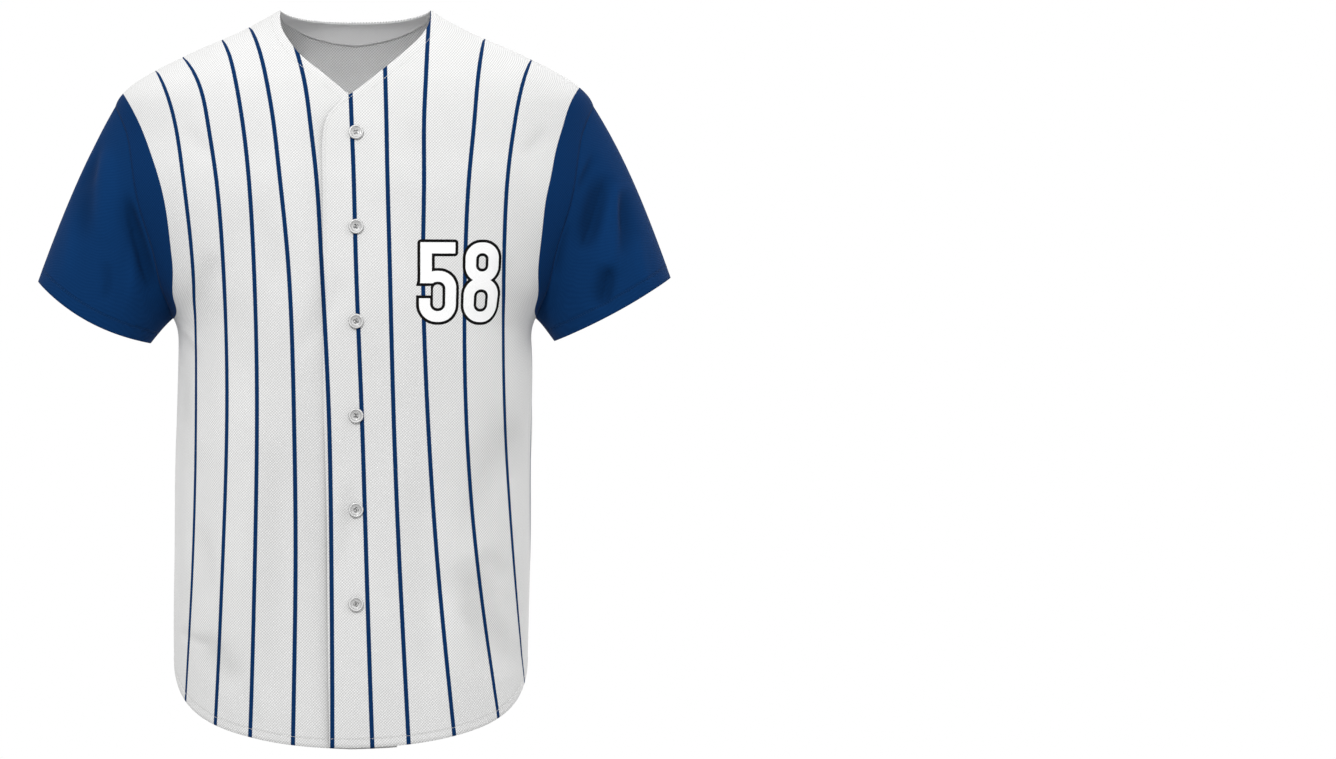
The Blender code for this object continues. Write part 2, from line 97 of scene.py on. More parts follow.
def place_camera():
    lens = bpy.data.cameras.new("camera")
    lens.lens = lens.sensor_width * CAMERA_DISTANCE / (PICTURE_SIZE[0] * PICTURE_SCALE)
    lens.shift_x = (PICTURE_SIZE[0] / 2 - BODY_MIDDLE_PIXEL) / PICTURE_SIZE[0]
    camera = bpy.data.objects.new("camera", lens)
    camera.location = (0, -CAMERA_DISTANCE * MM, -EYE_DROP * MM)
    camera.rotation_euler = (math.pi / 2, 0, 0)
    bpy.context.scene.collection.objects.link(camera)
    bpy.context.scene.camera = camera
    return camera


camera = place_camera()
print("lens, mm:", round(camera.data.lens), "sideways shift:", round(camera.data.shift_x, 3))

# %% [markdown]
# ## Short tables read as curves
# A garment's shape is a handful of measurements down the body. Each table below holds such
# measurements in named columns, in millimetres or degrees, and a natural cubic spline joins the
# rows, so a few numbers make one fair curve.

# %% Read a table as curves
class Curves:
    """The first column is the input, and each other column is a curve over it."""

    def __init__(self, columns, rows):
        data = np.array(rows, float)
        self.inputs = data[:, 0]
        self.outputs = dict(zip(columns[1:], data[:, 1:].T))
        self.bends = {name: self.natural_bends(values) for name, values in self.outputs.items()}

    def natural_bends(self, values):
        step = np.diff(self.inputs)
        count = len(values)
        matrix = np.eye(count)
        right = np.zeros(count)
        for row in range(1, count - 1):
            matrix[row, row - 1:row + 2] = (
                step[row - 1],
                2 * (step[row - 1] + step[row]),
                step[row],
            )
            rise = np.diff(values[row - 1:row + 2]) / step[row - 1:row + 1]
            right[row] = 6 * (rise[1] - rise[0])
        return np.linalg.solve(matrix, right)

    def __call__(self, name, at):
        values = self.outputs[name]
        bends = self.bends[name]
        at = np.asarray(at, float)
        left = np.clip(np.searchsorted(self.inputs, at) - 1, 0, len(values) - 2)
        step = self.inputs[left + 1] - self.inputs[left]
        far = (at - self.inputs[left]) / step
        near = 1 - far
        curve = (near**3 - near) * bends[left] + (far**3 - far) * bends[left + 1]
        return near * values[left] + far * values[left + 1] + curve * step**2 / 6


def smooth_step(value):
    value = np.clip(value, 0, 1)
    return value * value * (3 - 2 * value)


def unit(vectors):
    return vectors / np.linalg.norm(vectors, axis=-1, keepdims=True)


# %% [markdown]
# ## The form of the body
# Level sections through the worn garment are rounded ovals: their width and their depth change
# from the neck to the hem, and below the arms they grow a little squarer. A point of the cloth is
# then given by the angle from the middle of its face and by its drop below the shoulders.

# %% Torso sections
SECTION_COLUMNS = ("drop", "centre", "half_width", "front_depth", "back_depth", "squareness")
SECTIONS = (
    (0, 1.0, 78.0, 34, 34, 2.0),
    (10, 0.0, 94.5, 46, 57, 2.0),
    (20, 0.0, 113.0, 57, 69, 2.0),
    (31, 0.0, 137.0, 69, 78, 2.0),
    (41, 0.0, 161.0, 78, 85, 2.0),
    (52, 0.0, 184.0, 86, 91, 2.0),
    (62, 0.0, 204.0, 92, 96, 2.0),
    (72, 0.0, 221.5, 98, 100, 2.0),
    (83, 0.0, 236.0, 103, 104, 2.0),
    (93, 0.0, 244.5, 107, 108, 2.0),
    (104, 0.0, 248.5, 111, 111, 2.0),
    (128, 0.0, 253.0, 118, 118, 2.0),
    (150, 0.0, 259.0, 123, 123, 2.0),
    (176, 0.0, 264.0, 129, 128, 2.0),
    (206, 0.0, 261.0, 133, 132, 2.0),
    (254, 0.0, 237.0, 138, 134, 2.0),
    (291, 0.0, 211.0, 141, 134, 2.1),
    (319, 0.0, 187.5, 142, 133, 2.25),
    (350, 0.5, 182.5, 141, 130, 2.35),
    (450, -1.0, 183.5, 137, 123, 2.4),
    (550, -2.0, 184.0, 136, 127, 2.4),
    (640, -3.5, 183.5, 140, 137, 2.4),
    (760, -3.5, 181.0, 144, 145, 2.4),
)
SECTION = Curves(SECTION_COLUMNS, SECTIONS)


def torso(face, angle, drop):
    """A point of the smooth body under the folds, for the front or the back."""
    turn = np.radians(angle)
    power = SECTION("squareness", drop)
    sine = np.sin(turn)
    cosine = np.cos(turn)
    reach = (np.abs(sine) ** power + np.abs(cosine) ** power) ** (-1 / power)
    depth = SECTION(face + "_depth", drop)
    forward = -1 if face == "front" else 1
    x = SECTION("centre", drop) + SECTION("half_width", drop) * sine * reach
    return np.stack([x, forward * depth * cosine * reach, -np.asarray(drop, float)], axis=-1)


def torso_normal(face, angle, drop):
    step = 0.05
    along = torso(face, angle + step, drop) - torso(face, angle - step, drop)
    down = torso(face, angle, drop + step) - torso(face, angle, drop - step)
    normal = unit(np.cross(along, down))
    outward = torso(face, angle, drop) * (1, 1, 0) + (0, 0, 1)
    return normal * np.sign(np.sum(normal * outward, axis=-1, keepdims=True))


def angle_at(x, drop):
    power = SECTION("squareness", drop)
    ratio = np.clip((x - SECTION("centre", drop)) / SECTION("half_width", drop), -1, 1)
    rest = (1 - np.abs(ratio) ** power) ** (1 / power)
    return np.degrees(np.arctan2(ratio, rest))


print("chest depth at the underarm, mm:", SECTION("front_depth", 319) + SECTION("back_depth", 319))

# %% [markdown]
# ## Outlines of the cut pieces
# Two fronts, one back, two sleeves and a neck facing make the garment. The fronts overlap under
# the buttons: the wearer's left front lies on top, and its folded edge runs down the other side
# of the middle. Hems are curved like a shirt's, lowest at the middle and highest at the sides.

# %% Edges and seams
SIDE_ANGLE = 90.0
SHOULDER_TIP = 100.0
UNDERARM = 319.0
ARMHOLE_BITE = 32.0
NECK_BACK_DROP = 10.0
NECK_BACK_CURVE = 2.6
PLACKET_START = 92.0
PLACKET_TOP = 137.0
HEM_LINE = Curves(
    ("angle", "front_drop", "back_drop"),
    (
        (0, 756, 759),
        (20, 752, 755),
        (36, 743, 746),
        (53, 727, 730),
        (70, 702, 704),
        (79, 687, 688),
        (85, 680, 680),
        (90, 678, 678),
    ),
)
TOP_EDGE = Curves(
    ("drop", "x"),
    (
        (0, 79.0),
        (12, 78.0),
        (28, 69.5),
        (43, 56.0),
        (64, 31.5),
        (92, -4.7),
        (97.5, -12.5),
        (110.5, -25.0),
        (137, -32.5),
        (170, -32.6),
        (420, -30.8),
        (505, -28.3),
        (600, -27.3),
        (756, -25.2),
    ),
)
UNDER_EDGE = Curves(
    ("drop", "x"),
    (
        (0, -77.0),
        (18, -76.0),
        (37, -65.5),
        (50, -55.0),
        (67, -34.5),
        (92, -4.7),
        (103, 10.0),
        (117, 26.0),
        (136, 38.0),
        (165, 43.0),
        (420, 43.0),
        (756, 43.0),
    ),
)

hem_curve = HEM_LINE("front_drop", 0) - HEM_LINE("front_drop", SIDE_ANGLE)
print("hem, middle below the sides, mm:", round(float(hem_curve)))

# %% Spread points evenly along an edge
SIDE_STEPS = 112
ARMHOLE_STEPS = 144
PLACKET_STEPS = 152
NECK_STEPS = 104
FRONT_COLUMNS = 70
BACK_RIDGE_COLUMNS = 40
BACK_NECK_COLUMNS = 50
FINE = 1600


def spaced(face, path, steps):
    """Points of a path of (angle, drop) at equal distances along the body, ends included."""
    points = torso(face, path[:, 0], path[:, 1])
    length = np.concatenate([[0], np.cumsum(np.linalg.norm(np.diff(points, axis=0), axis=1))])
    stops = np.linspace(0, length[-1], steps + 1)
    return np.stack([np.interp(stops, length, path[:, k]) for k in (0, 1)], axis=1)


def joined(*paths):
    return np.concatenate([paths[0]] + [path[1:] for path in paths[1:]])


def side_and_armhole(face, side):
    """From the hem up the side seam, then along the armhole to the shoulder tip."""
    drops = np.linspace(float(HEM_LINE("front_drop", SIDE_ANGLE)), UNDERARM, FINE)
    seam = np.stack([np.full(FINE, SIDE_ANGLE * side), drops], axis=1)
    turn = np.linspace(math.pi, 0, FINE)
    middle = (SHOULDER_TIP + UNDERARM) / 2
    half = (UNDERARM - SHOULDER_TIP) / 2
    bite = side * (SIDE_ANGLE - ARMHOLE_BITE * np.sin(turn))
    armhole = np.stack([bite, middle - half * np.cos(turn)], axis=1)
    return joined(spaced(face, seam, SIDE_STEPS), spaced(face, armhole, ARMHOLE_STEPS))


def free_edge(edge):
    """From the hem up the edge of a front, then along the neck to the top of the shoulder."""
    placket = np.linspace(float(HEM_LINE("front_drop", 0)), PLACKET_TOP, FINE)
    neck = PLACKET_TOP * np.linspace(1, 0, FINE) ** 2
    lines = []
    for drops, steps in ((placket, PLACKET_STEPS), (neck, NECK_STEPS)):
        line = np.stack([angle_at(edge("x", drops), drops), drops], axis=1)
        lines.append(spaced("front", line, steps))
    return joined(*lines)


def hem_path(face, start, end, steps):
    angles = np.linspace(start, end, FINE)
    drops = HEM_LINE(face + "_drop", np.abs(angles))
    return spaced(face, np.stack([angles, drops], axis=1), steps)


def shoulder_path(face, side, steps):
    drops = np.linspace(0, SHOULDER_TIP, FINE)
    return spaced(face, np.stack([np.full(FINE, SIDE_ANGLE * side), drops], axis=1), steps)


def neck_path(steps):
    angles = np.linspace(-SIDE_ANGLE, SIDE_ANGLE, FINE)
    drops = NECK_BACK_DROP * (1 - np.abs(np.sin(np.radians(angles))) ** NECK_BACK_CURVE)
    return spaced("back", np.stack([angles, drops], axis=1), steps)


# %% Fill a panel between its four edges
def blended(left, right, bottom, top, u, v):
    """A sheet of points that meets four edges, its rows running from the bottom to the top."""
    across = (1 - u) * left[:, None] + u * right[:, None]
    upward = (1 - v) * bottom[None] + v * top[None]
    corners = (1 - v) * ((1 - u) * bottom[0] + u * bottom[-1]) + v * ((1 - u) * top[0] + u * top[-1])
    return across + upward - corners


def front_grid(side, edge):
    left = free_edge(edge)
    right = side_and_armhole("front", side)
    bottom = hem_path("front", left[0, 0], right[0, 0], FRONT_COLUMNS)
    top = shoulder_path("front", side, FRONT_COLUMNS)
    u = np.linspace(0, 1, len(bottom))[None, :, None]
    v = np.linspace(0, 1, len(left))[:, None, None]
    return blended(left, right, bottom, top, u, v)


def back_grid():
    """The back is blended as it is seen, because its top edge runs along both shoulders."""
    top = joined(
        shoulder_path("back", -1, BACK_RIDGE_COLUMNS)[::-1],
        neck_path(BACK_NECK_COLUMNS),
        shoulder_path("back", 1, BACK_RIDGE_COLUMNS),
    )
    bottom = hem_path("back", -SIDE_ANGLE, SIDE_ANGLE, len(top) - 1)
    edges = (side_and_armhole("back", -1), side_and_armhole("back", 1), bottom, top)
    seen_edges = [np.stack([torso("back", *edge.T)[:, 0], edge[:, 1]], axis=1) for edge in edges]
    left, right, bottom, top = seen_edges
    low = (bottom[:, 0] - bottom[0, 0]) / (bottom[-1, 0] - bottom[0, 0])
    high = (top[:, 0] - top[0, 0]) / (top[-1, 0] - top[0, 0])
    v = ((right[:, 1] - right[0, 1]) / (right[-1, 1] - right[0, 1]))[:, None, None]
    blend = np.linspace(0, 1, len(left))[:, None, None]
    u = (1 - blend) * low[None, :, None] + blend * high[None, :, None]
    flat = blended(left, right, bottom, top, u, v)
    return np.stack([angle_at(flat[..., 0], flat[..., 1]), flat[..., 1]], axis=-1)


grids = {
    "front_left": front_grid(1, TOP_EDGE),
    "front_right": front_grid(-1, UNDER_EDGE),
    "back": back_grid(),
}
print("points in each panel:", {name: grid.shape[:2] for name, grid in grids.items()})

# %% [markdown]
# ## Folds
# Cloth that hangs on a body breaks into soft folds: long ones below the chest, short ones that
# point at the armpits. They could come from a cloth simulation, but these folds are known by
# place, so each is one row of a table: a line with a bow in it, a width on either side, and a
# height that is below zero for a trough. No two rows are alike in length, depth or spacing.

# %% The folds, by place
FOLD_COLUMNS = (
    "face",
    "x_1",
    "drop_1",
    "x_2",
    "drop_2",
    "bow",
    "left_width",
    "right_width",
    "height",
)
BODY_FOLDS = (
    ("front", -52, 330, -50, 735, 0, 15, 15, -1.4),
    ("front", -118, 360, -132, 640, 0, 22, 22, 3.0),
    ("front", -86, 430, -96, 720, 0, 20, 20, -3.0),
    ("front", -172, 322, -140, 250, 0, 13, 13, -2.8),
    ("front", -160, 640, -118, 700, 0, 14, 14, -3.5),
    ("front", 168, 400, 110, 560, 0, 18, 18, -2.8),
    ("front", 112, 560, 158, 690, 0, 20, 20, -5.0),
    ("front", 90, 590, 104, 735, 0, 16, 16, 3.5),
    ("front", 168, 318, 146, 250, 0, 13, 13, -1.8),
    ("front", -8, 269, -68, 368, 3, 14, 9, -1.6),
    ("front", -40, 150, -38, 500, 0, 9, 4, -0.7),
    ("front", -36, 440, -29, 750, 0, 16, 4, -1.1),
    ("front", -186, 322, -158, 354, 2, 3, 4, 0.9),
    ("front", -184, 330, -160, 366, 2, 7, 5, -1.1),
    ("front", -177, 345, -172, 452, -3, 6, 7, -1.5),
    ("front", -161, 360, -163, 470, 2, 7, 9, 1.0),
    ("front", -156, 528, -150, 618, 4, 12, 9, -2.0),
    ("front", -170, 470, -172, 610, 2, 8, 8, 1.2),
    ("front", -184, 640, -146, 655, -2, 4, 6, -1.5),
    ("front", -110, 690, -100, 752, 2, 9, 7, -1.2),
    ("front", 168, 420, 168, 495, -3, 10, 12, -2.0),
    ("front", 128, 556, 160, 594, 3, 10, 8, -1.8),
    ("front", 106, 610, 158, 682, 4, 9, 12, -1.8),
    ("front", 141, 600, 170, 668, 3, 6, 8, 1.4),
    ("front", 60, 430, 70, 700, -6, 16, 20, -1.2),
    ("front", 198, 122, 170, 157, 2, 7, 9, -1.3),
    ("front", -176, 118, -140, 158, -3, 10, 8, -1.0),
    ("front", 60, 110, 88, 190, -4, 14, 18, -0.9),
    ("front", -112, 190, -70, 300, 5, 18, 14, -0.9),
    ("front", -5, 482, -19, 592, 2, 9, 7, -2.0),
    ("back", 156, 292, 164, 372, 0, 13, 13, -6.0),
    ("back", 128, 330, 160, 440, 0, 12, 12, 4.0),
    ("back", 146, 420, 166, 500, 0, 13, 13, -5.0),
    ("back", 118, 360, 124, 520, 0, 14, 14, 3.5),
    ("back", 144, 556, 168, 640, 0, 12, 12, 5.0),
    ("back", -150, 300, -152, 385, 0, 13, 13, -6.0),
    ("back", -128, 330, -138, 520, 0, 16, 16, 4.0),
    ("back", -118, 505, -164, 650, 0, 20, 20, -6.0),
    ("back", -80, 560, -100, 740, 0, 20, 20, 3.0),
    ("back", 140, 279, 166, 352, 4, 8, 6, -1.8),
    ("back", 127, 418, 172, 486, 3, 6, 4, -2.0),
    ("back", 117, 370, 122, 496, -2, 5, 7, 1.2),
    ("back", 168, 560, 142, 650, 4, 5, 8, -1.6),
    ("back", -154, 317, -184, 345, 2, 5, 5, -1.4),
    ("back", -140, 690, -176, 716, 3, 8, 8, -1.6),
    ("back", -122, 660, -132, 745, 2, 10, 8, -1.4),
    ("back", 205, 78, 152, 92, 2, 6, 6, -0.9),
    ("back", -204, 100, -168, 130, -3, 7, 7, -0.9),
    ("back", 60, 380, 54, 720, 8, 20, 16, -1.4),
    ("back", -40, 420, -46, 690, -7, 18, 22, -1.2),
    ("side_left", -30, 340, -22, 600, 6, 12, 9, -3.0),
    ("side_left", 26, 380, 34, 670, -5, 10, 13, 2.6),
    ("side_left", 4, 330, 14, 470, 3, 8, 8, 2.0),
    ("side_left", 58, 420, 48, 640, 5, 10, 8, -2.2),
    ("side_right", 28, 345, 18, 560, 5, 11, 9, -3.0),
    ("side_right", -24, 400, -36, 660, -4, 12, 9, 2.4),
    ("side_right", -4, 500, 6, 676, 3, 8, 9, -2.0),
    ("side_right", -60, 360, -54, 520, 4, 9, 9, -1.8),
)
SIDE_BAND = 0.55
FOLD_DEPTH = 1.3


def fold_height(face, across, drop, folds):
    """How far the folds of one face push the cloth out."""
    height = np.zeros(across.shape)
    for fold in folds:
        row = dict(zip(FOLD_COLUMNS, fold))
        if row["face"] != face:
            continue
        run = np.array((row["x_2"] - row["x_1"], row["drop_2"] - row["drop_1"]), float)
        length = np.linalg.norm(run)
        from_start = (across - row["x_1"], drop - row["drop_1"])
        along = (from_start[0] * run[0] + from_start[1] * run[1]) / length**2
        away = (from_start[0] * run[1] - from_start[1] * run[0]) / length
        away = away * np.sign(run[1] or 1) - row["bow"] * 4 * along * (1 - along)
        width = np.where(away < 0, row["left_width"], row["right_width"])
        ends = np.clip(1 - np.abs(2 * along - 1) ** 3, 0, 1) ** 2
        height += row["height"] * ends * np.exp(-((away / width) ** 2))
    return height * FOLD_DEPTH


# Troughs of the folds are painted darker as painted shade, and ridges painted lighter as a painted
# highlight
CREASE_FULL = 4.0
RIDGE_PAINTED_LIGHT = 0.35


def crease_of(height):
    """How deep in a fold the cloth lies, for painted shade: 1 in a full trough, which is painted
    darkest, and below zero on a ridge, which gets a painted highlight.
    """
    return np.clip(-height / CREASE_FULL, -RIDGE_PAINTED_LIGHT, 1)


def body_relief(face, points, drop):
    """Folds of the front and the back fade towards the side seams, where the side folds take over."""
    depth = SECTION(face + "_depth", drop)
    beside = smooth_step(1 - np.abs(points[..., 1]) / (depth * SIDE_BAND))
    height = fold_height(face, points[..., 0], drop, BODY_FOLDS) * (1 - beside)
    for side_name, on_side in (("side_left", points[..., 0] > 0), ("side_right", points[..., 0] < 0)):
        height += fold_height(side_name, points[..., 1], drop, BODY_FOLDS) * beside * on_side
    return height


print("folds on the body:", len(BODY_FOLDS))

# %% Lay the cloth on the form
WALL = 1.2
LAYER_LIFT = 2.1
LIFT_FULL_X = 50.0
LIFT_END_X = 76.0
# Beside the folded edge of the top layer, the cloth under it sinks, most of all low down
DIP_DEPTH = Curves(
    ("drop", "depth"),
    (
        (100, 0.3),
        (150, 1.3),
        (230, 0.9),
        (330, 0.6),
        (430, 0.6),
        (520, 1.0),
        (640, 2.0),
        (756, 1.4),
    ),
)
DIP_TOP = 100.0
DIP_FROM_EDGE = 2.5
DIP_LEFT_WIDTH = 13.0
DIP_RIGHT_WIDTH = 4.5


def layer_height(name, x, drop):
    """The top layer rides on the layer under it, and that one sinks beside its edge."""
    if name == "front_left":
        return LAYER_LIFT * smooth_step((LIFT_END_X - x) / (LIFT_END_X - LIFT_FULL_X))
    if name != "front_right":
        return 0.0
    away = x - TOP_EDGE("x", drop) + DIP_FROM_EDGE
    width = np.where(away < 0, DIP_LEFT_WIDTH, DIP_RIGHT_WIDTH)
    below_neck = smooth_step((drop - PLACKET_START) / (PLACKET_TOP - PLACKET_START))
    depth = DIP_DEPTH("depth", np.maximum(drop, DIP_TOP))
    return -depth * below_neck * np.exp(-((away / width) ** 2))


def cloth(name, grid):
    """Outer points of a piece of the body and its normals."""
    face = FACE_OF[name]
    angle = grid[..., 0]
    drop = grid[..., 1]
    base = torso(face, angle, drop)
    normal = torso_normal(face, angle, drop)
    height = body_relief(face, base, drop) + layer_height(name, base[..., 0], drop)
    return base + normal * height[..., None], normal


FACE_OF = {"front_left": "front", "front_right": "front", "back": "back"}
panels = {name: cloth(name, grid) for name, grid in grids.items()}
for name, (outer, normal) in panels.items():
    print(name, "lowest point, mm:", round(float(outer[..., 2].min())))

# %% [markdown]
# ## Where the stripes run
# The stripes are printed on flat cloth about 40 mm apart and follow the body when it is worn, so
# they bow round the chest. A table holds where each stripe is seen at a few heights. Every point
# of the cloth then stores which stripe it lies at, as a number that may fall between two, and how
# far apart they are there. The shader turns both into lines of one width.

# %% Stripes of the front and the back
STRIPE_NAMES = tuple("stripe_" + str(number) for number in range(1, 11))
STRIPE_SPACING = 40.0
FRONT_STRIPES = Curves(
    ("drop",) + STRIPE_NAMES,
    (
        (0, -258, -227, -158, -117, -72, -10, 29, 78, 140, 202),
        (31, -227, -193, -137, -103, -64, -8, 31, 76, 134, 191),
        (72, -201, -164, -124, -92, -53, -5, 32, 74, 128, 176),
        (119, -186, -152, -116, -84, -46, -3, 33, 72, 124, 166),
        (171, -178, -144, -110, -78, -40, -1, 34, 72, 119, 159),
        (248, -169, -137, -105, -70, -35, 1, 36, 71, 115, 155),
        (404, -164, -132, -101, -63, -27, 7, 40, 75, 115, 155),
        (559, -167, -136, -103, -61, -24, 12, 46, 85, 126, 164),
        (714, -175, -143, -107, -63, -23, 17, 54, 100, 147, 178),
        (770, -178, -146, -109, -64, -23, 19, 57, 106, 155, 184),
    ),
)
BACK_STRIPES = Curves(
    ("drop",) + STRIPE_NAMES,
    (
        (0, -229, -157, -89, -40, -1, 59, 117, 167, 223, 284),
        (31, -213, -151, -87, -41, -2, 52, 105, 142, 195, 247),
        (72, -199, -144, -85, -41, -3, 45, 93, 128, 172, 215),
        (145, -181, -137, -83, -43, -6, 37, 81, 115, 153, 190),
        (248, -174, -130, -83, -45, -9, 31, 71, 108, 142, 177),
        (404, -177, -129, -87, -49, -15, 23, 62, 103, 137, 172),
        (559, -182, -141, -98, -55, -20, 20, 60, 104, 140, 175),
        (714, -182.5, -165, -114, -64, -25, 20, 62, 109, 148, 177),
        (770, -182.5, -174, -121, -68, -27, 20, 63, 111, 151, 177),
    ),
)

print("stripes on each face:", len(STRIPE_NAMES))

# %% Measure along the cloth
ARC_ANGLES = np.linspace(-SIDE_ANGLE, SIDE_ANGLE, 361)
ARC_STEP = 2.5
ARC_DROPS = np.arange(0, 771, ARC_STEP)
JUST_INSIDE = 0.001
WAIST_DROP = 450.0
CHEST_DROP = 250.0


def section_arcs(face):
    """Distances along each level section, from the middle of the face."""
    angle, drop = np.meshgrid(ARC_ANGLES, ARC_DROPS)
    points = torso(face, angle, drop)
    length = np.cumsum(np.linalg.norm(np.diff(points, axis=1), axis=-1), axis=1)
    length = np.concatenate([np.zeros((len(ARC_DROPS), 1)), length], axis=1)
    return length - length[:, len(ARC_ANGLES) // 2][:, None]


def looked_up(table, columns, drop, at):
    """Reads a table of evenly spaced drops and columns between its entries."""
    row = np.clip(drop / ARC_STEP, 0, len(ARC_DROPS) - 1 - JUST_INSIDE)
    place = np.clip((at - columns[0]) / (columns[1] - columns[0]), 0, len(columns) - 1 - JUST_INSIDE)
    j = row.astype(int)
    i = place.astype(int)
    down = row - j
    over = place - i
    high = table[j, i] * (1 - over) + table[j, i + 1] * over
    low = table[j + 1, i] * (1 - over) + table[j + 1, i + 1] * over
    return high * (1 - down) + low * down


ARCS = {face: section_arcs(face) for face in ("front", "back")}
waist = [ARCS[face][int(WAIST_DROP / ARC_STEP), -1] for face in ("front", "back")]
print("half way round at the waist, mm:", round(float(sum(waist))))

# %% Number the cloth by stripes
STRIPE_REACH = np.arange(-460, 461, 5.0)
SEAM_STRIPE_INSET = 6.0
SEAM_STRIPE_TOP = 250.0
LEAST_STRIPE_SPACING = 24.0
EVEN_FROM_ANGLE = 60.0
EVEN_TO_ANGLE = 80.0


def stripe_numbers(face, stripes):
    """For each drop, the stripe number along the section, and the distance between stripes."""
    numbers = []
    for row, drop in enumerate(ARC_DROPS):
        places = []
        for name in STRIPE_NAMES:
            x = float(stripes(name, drop))
            if face == "front":
                y = torso(face, angle_at(x, drop), drop)[1]
                x = x * (CAMERA_DISTANCE + y) / CAMERA_DISTANCE
            place = np.interp(float(angle_at(x, drop)), ARC_ANGLES, ARCS[face][row])
            beyond = max(abs(x) - float(SECTION("half_width", drop)), 0)
            places.append(float(place) + math.copysign(beyond, x))
        if face == "front" and drop >= SEAM_STRIPE_TOP:
            beside = [
                min(ARCS[face][row, 0] + SEAM_STRIPE_INSET, places[0] - LEAST_STRIPE_SPACING),
                max(ARCS[face][row, -1] - SEAM_STRIPE_INSET, places[-1] + LEAST_STRIPE_SPACING),
            ]
        else:
            beside = [places[0] - STRIPE_SPACING, places[-1] + STRIPE_SPACING]
        places = [beside[0]] + places + [beside[1]]
        places = [places[0] - STRIPE_SPACING] + places + [places[-1] + STRIPE_SPACING]
        rows = [(place, k - 1) for k, place in enumerate(places)]
        numbers.append(Curves(("place", "number"), rows)("number", STRIPE_REACH))
    numbers = np.array(numbers)
    gaps = 1 / np.gradient(numbers, STRIPE_REACH, axis=1)
    # Halfway between two numbers lies no stripe: the seam stripes are left out where the body
    # widens into the shoulders, and everywhere on the back
    spare = (ARC_DROPS >= SEAM_STRIPE_TOP) & (face == "front")
    last = len(STRIPE_NAMES) + 0.5 + spare[:, None]
    return np.clip(numbers, 0.5 - spare[:, None], last), gaps


def followed_angle(face, outer, angle):
    """The angle at which folded cloth is seen, so that a fold doesn't bend a stripe sideways."""
    seen = angle_at(outer[..., 0], -outer[..., 2])
    share = smooth_step((EVEN_TO_ANGLE - np.abs(angle)) / (EVEN_TO_ANGLE - EVEN_FROM_ANGLE))
    return angle + (seen - angle) * share


STRIPE_TABLES = {
    "front": stripe_numbers("front", FRONT_STRIPES),
    "back": stripe_numbers("back", BACK_STRIPES),
}
chest_gaps = STRIPE_TABLES["front"][1][int(CHEST_DROP / ARC_STEP)]
print("stripe spacing at the chest, mm:", np.round(chest_gaps[72:113:10], 1))

# %% [markdown]
# ## The dark print that borders the sleeves
# The dark colour doesn't stop at the armhole seam: it is printed on the body panels as well, as a
# crescent that narrows to nothing at the underarm. Its border is again a short table, by drop.

# %% Border of the dark print
PRINT_BORDER = Curves(
    ("drop", "front_right", "front_left", "back_right", "back_left"),
    (
        (60, 262, 250, 264, 252),
        (80, 244, 233, 246, 235),
        (93, 235.5, 225, 238, 229),
        (119, 222, 216, 226, 220.5),
        (145, 212, 208.5, 218, 211.5),
        (171, 203.5, 203.5, 210, 203),
        (197, 197, 198, 203, 197),
        (222, 193, 195, 198.5, 192),
        (248, 190, 192, 193.5, 188.5),
        (274, 188, 190, 190, 186),
        (300, 187, 189, 187.5, 185.5),
        (318, 186, 188, 187, 185.5),
        (330, 200, 200, 200, 200),
        (770, 400, 400, 400, 400),
    ),
)


def print_depth(face, points):
    """How far a point lies inside the dark print, below zero outside it."""
    reach = CAMERA_DISTANCE / (CAMERA_DISTANCE + points[..., 1]) if face == "front" else 1.0
    x = points[..., 0] * reach
    drop = EYE_DROP + (-points[..., 2] - EYE_DROP) * reach
    left = np.abs(x) - PRINT_BORDER(face + "_left", drop)
    right = np.abs(x) - PRINT_BORDER(face + "_right", drop)
    return np.where(x > 0, left, right)


border = float(PRINT_BORDER("front_right", UNDERARM))
print("dark print from this far out at the right underarm, mm:", round(border))

# %% Distances to edges and seams
TINY = 1e-9


def distance_to(points, path):
    """The distance from each point to a line of points."""
    flat = points.reshape(-1, 3)
    nearest = np.full(len(flat), np.inf)
    for start, end in zip(path[:-1], path[1:]):
        run = end - start
        along = np.clip((flat - start) @ run / max(run @ run, TINY), 0, 1)
        nearest = np.minimum(nearest, np.linalg.norm(flat - start - along[:, None] * run, axis=1))
    return nearest.reshape(points.shape[:-1])


# %% Values for the shader
FAR = 1000.0
# The cloth beside the top layer's edge gets less light, so a shade is painted on it: a soft shade, and a
# narrow dark line in it
EDGE_SHADE = Curves(
    ("drop", "soft", "core"),
    (
        (92, 0.0, 0.0),
        (112, 0.14, 0.07),
        (150, 0.12, 0.12),
        (200, 0.08, 0.18),
        (300, 0.11, 0.12),
        (400, 0.05, 0.15),
        (466, 0.04, 0.36),
        (530, 0.07, 0.48),
        (620, 0.10, 0.42),
        (672, 0.14, 0.24),
        (714, 0.11, 0.36),
        (756, 0.10, 0.30),
    ),
)


def edges_of(name, outer):
    """The lines that a panel is sewn or folded along."""
    if name == "back":
        neck = outer[-1, BACK_RIDGE_COLUMNS:BACK_RIDGE_COLUMNS + BACK_NECK_COLUMNS + 1]
        armholes = [outer[SIDE_STEPS:, 0], outer[SIDE_STEPS:, -1]]
        return {"hem": [outer[0]], "neck": [neck], "armhole": armholes}
    free = outer[:, 0]
    on_neck = -free[:, 2] < PLACKET_START
    edges = {"hem": [outer[0]], "neck": [free[on_neck]], "armhole": [outer[SIDE_STEPS:, -1]]}
    if name == "front_left":
        edges["placket"] = [free[~on_neck]]
    return edges


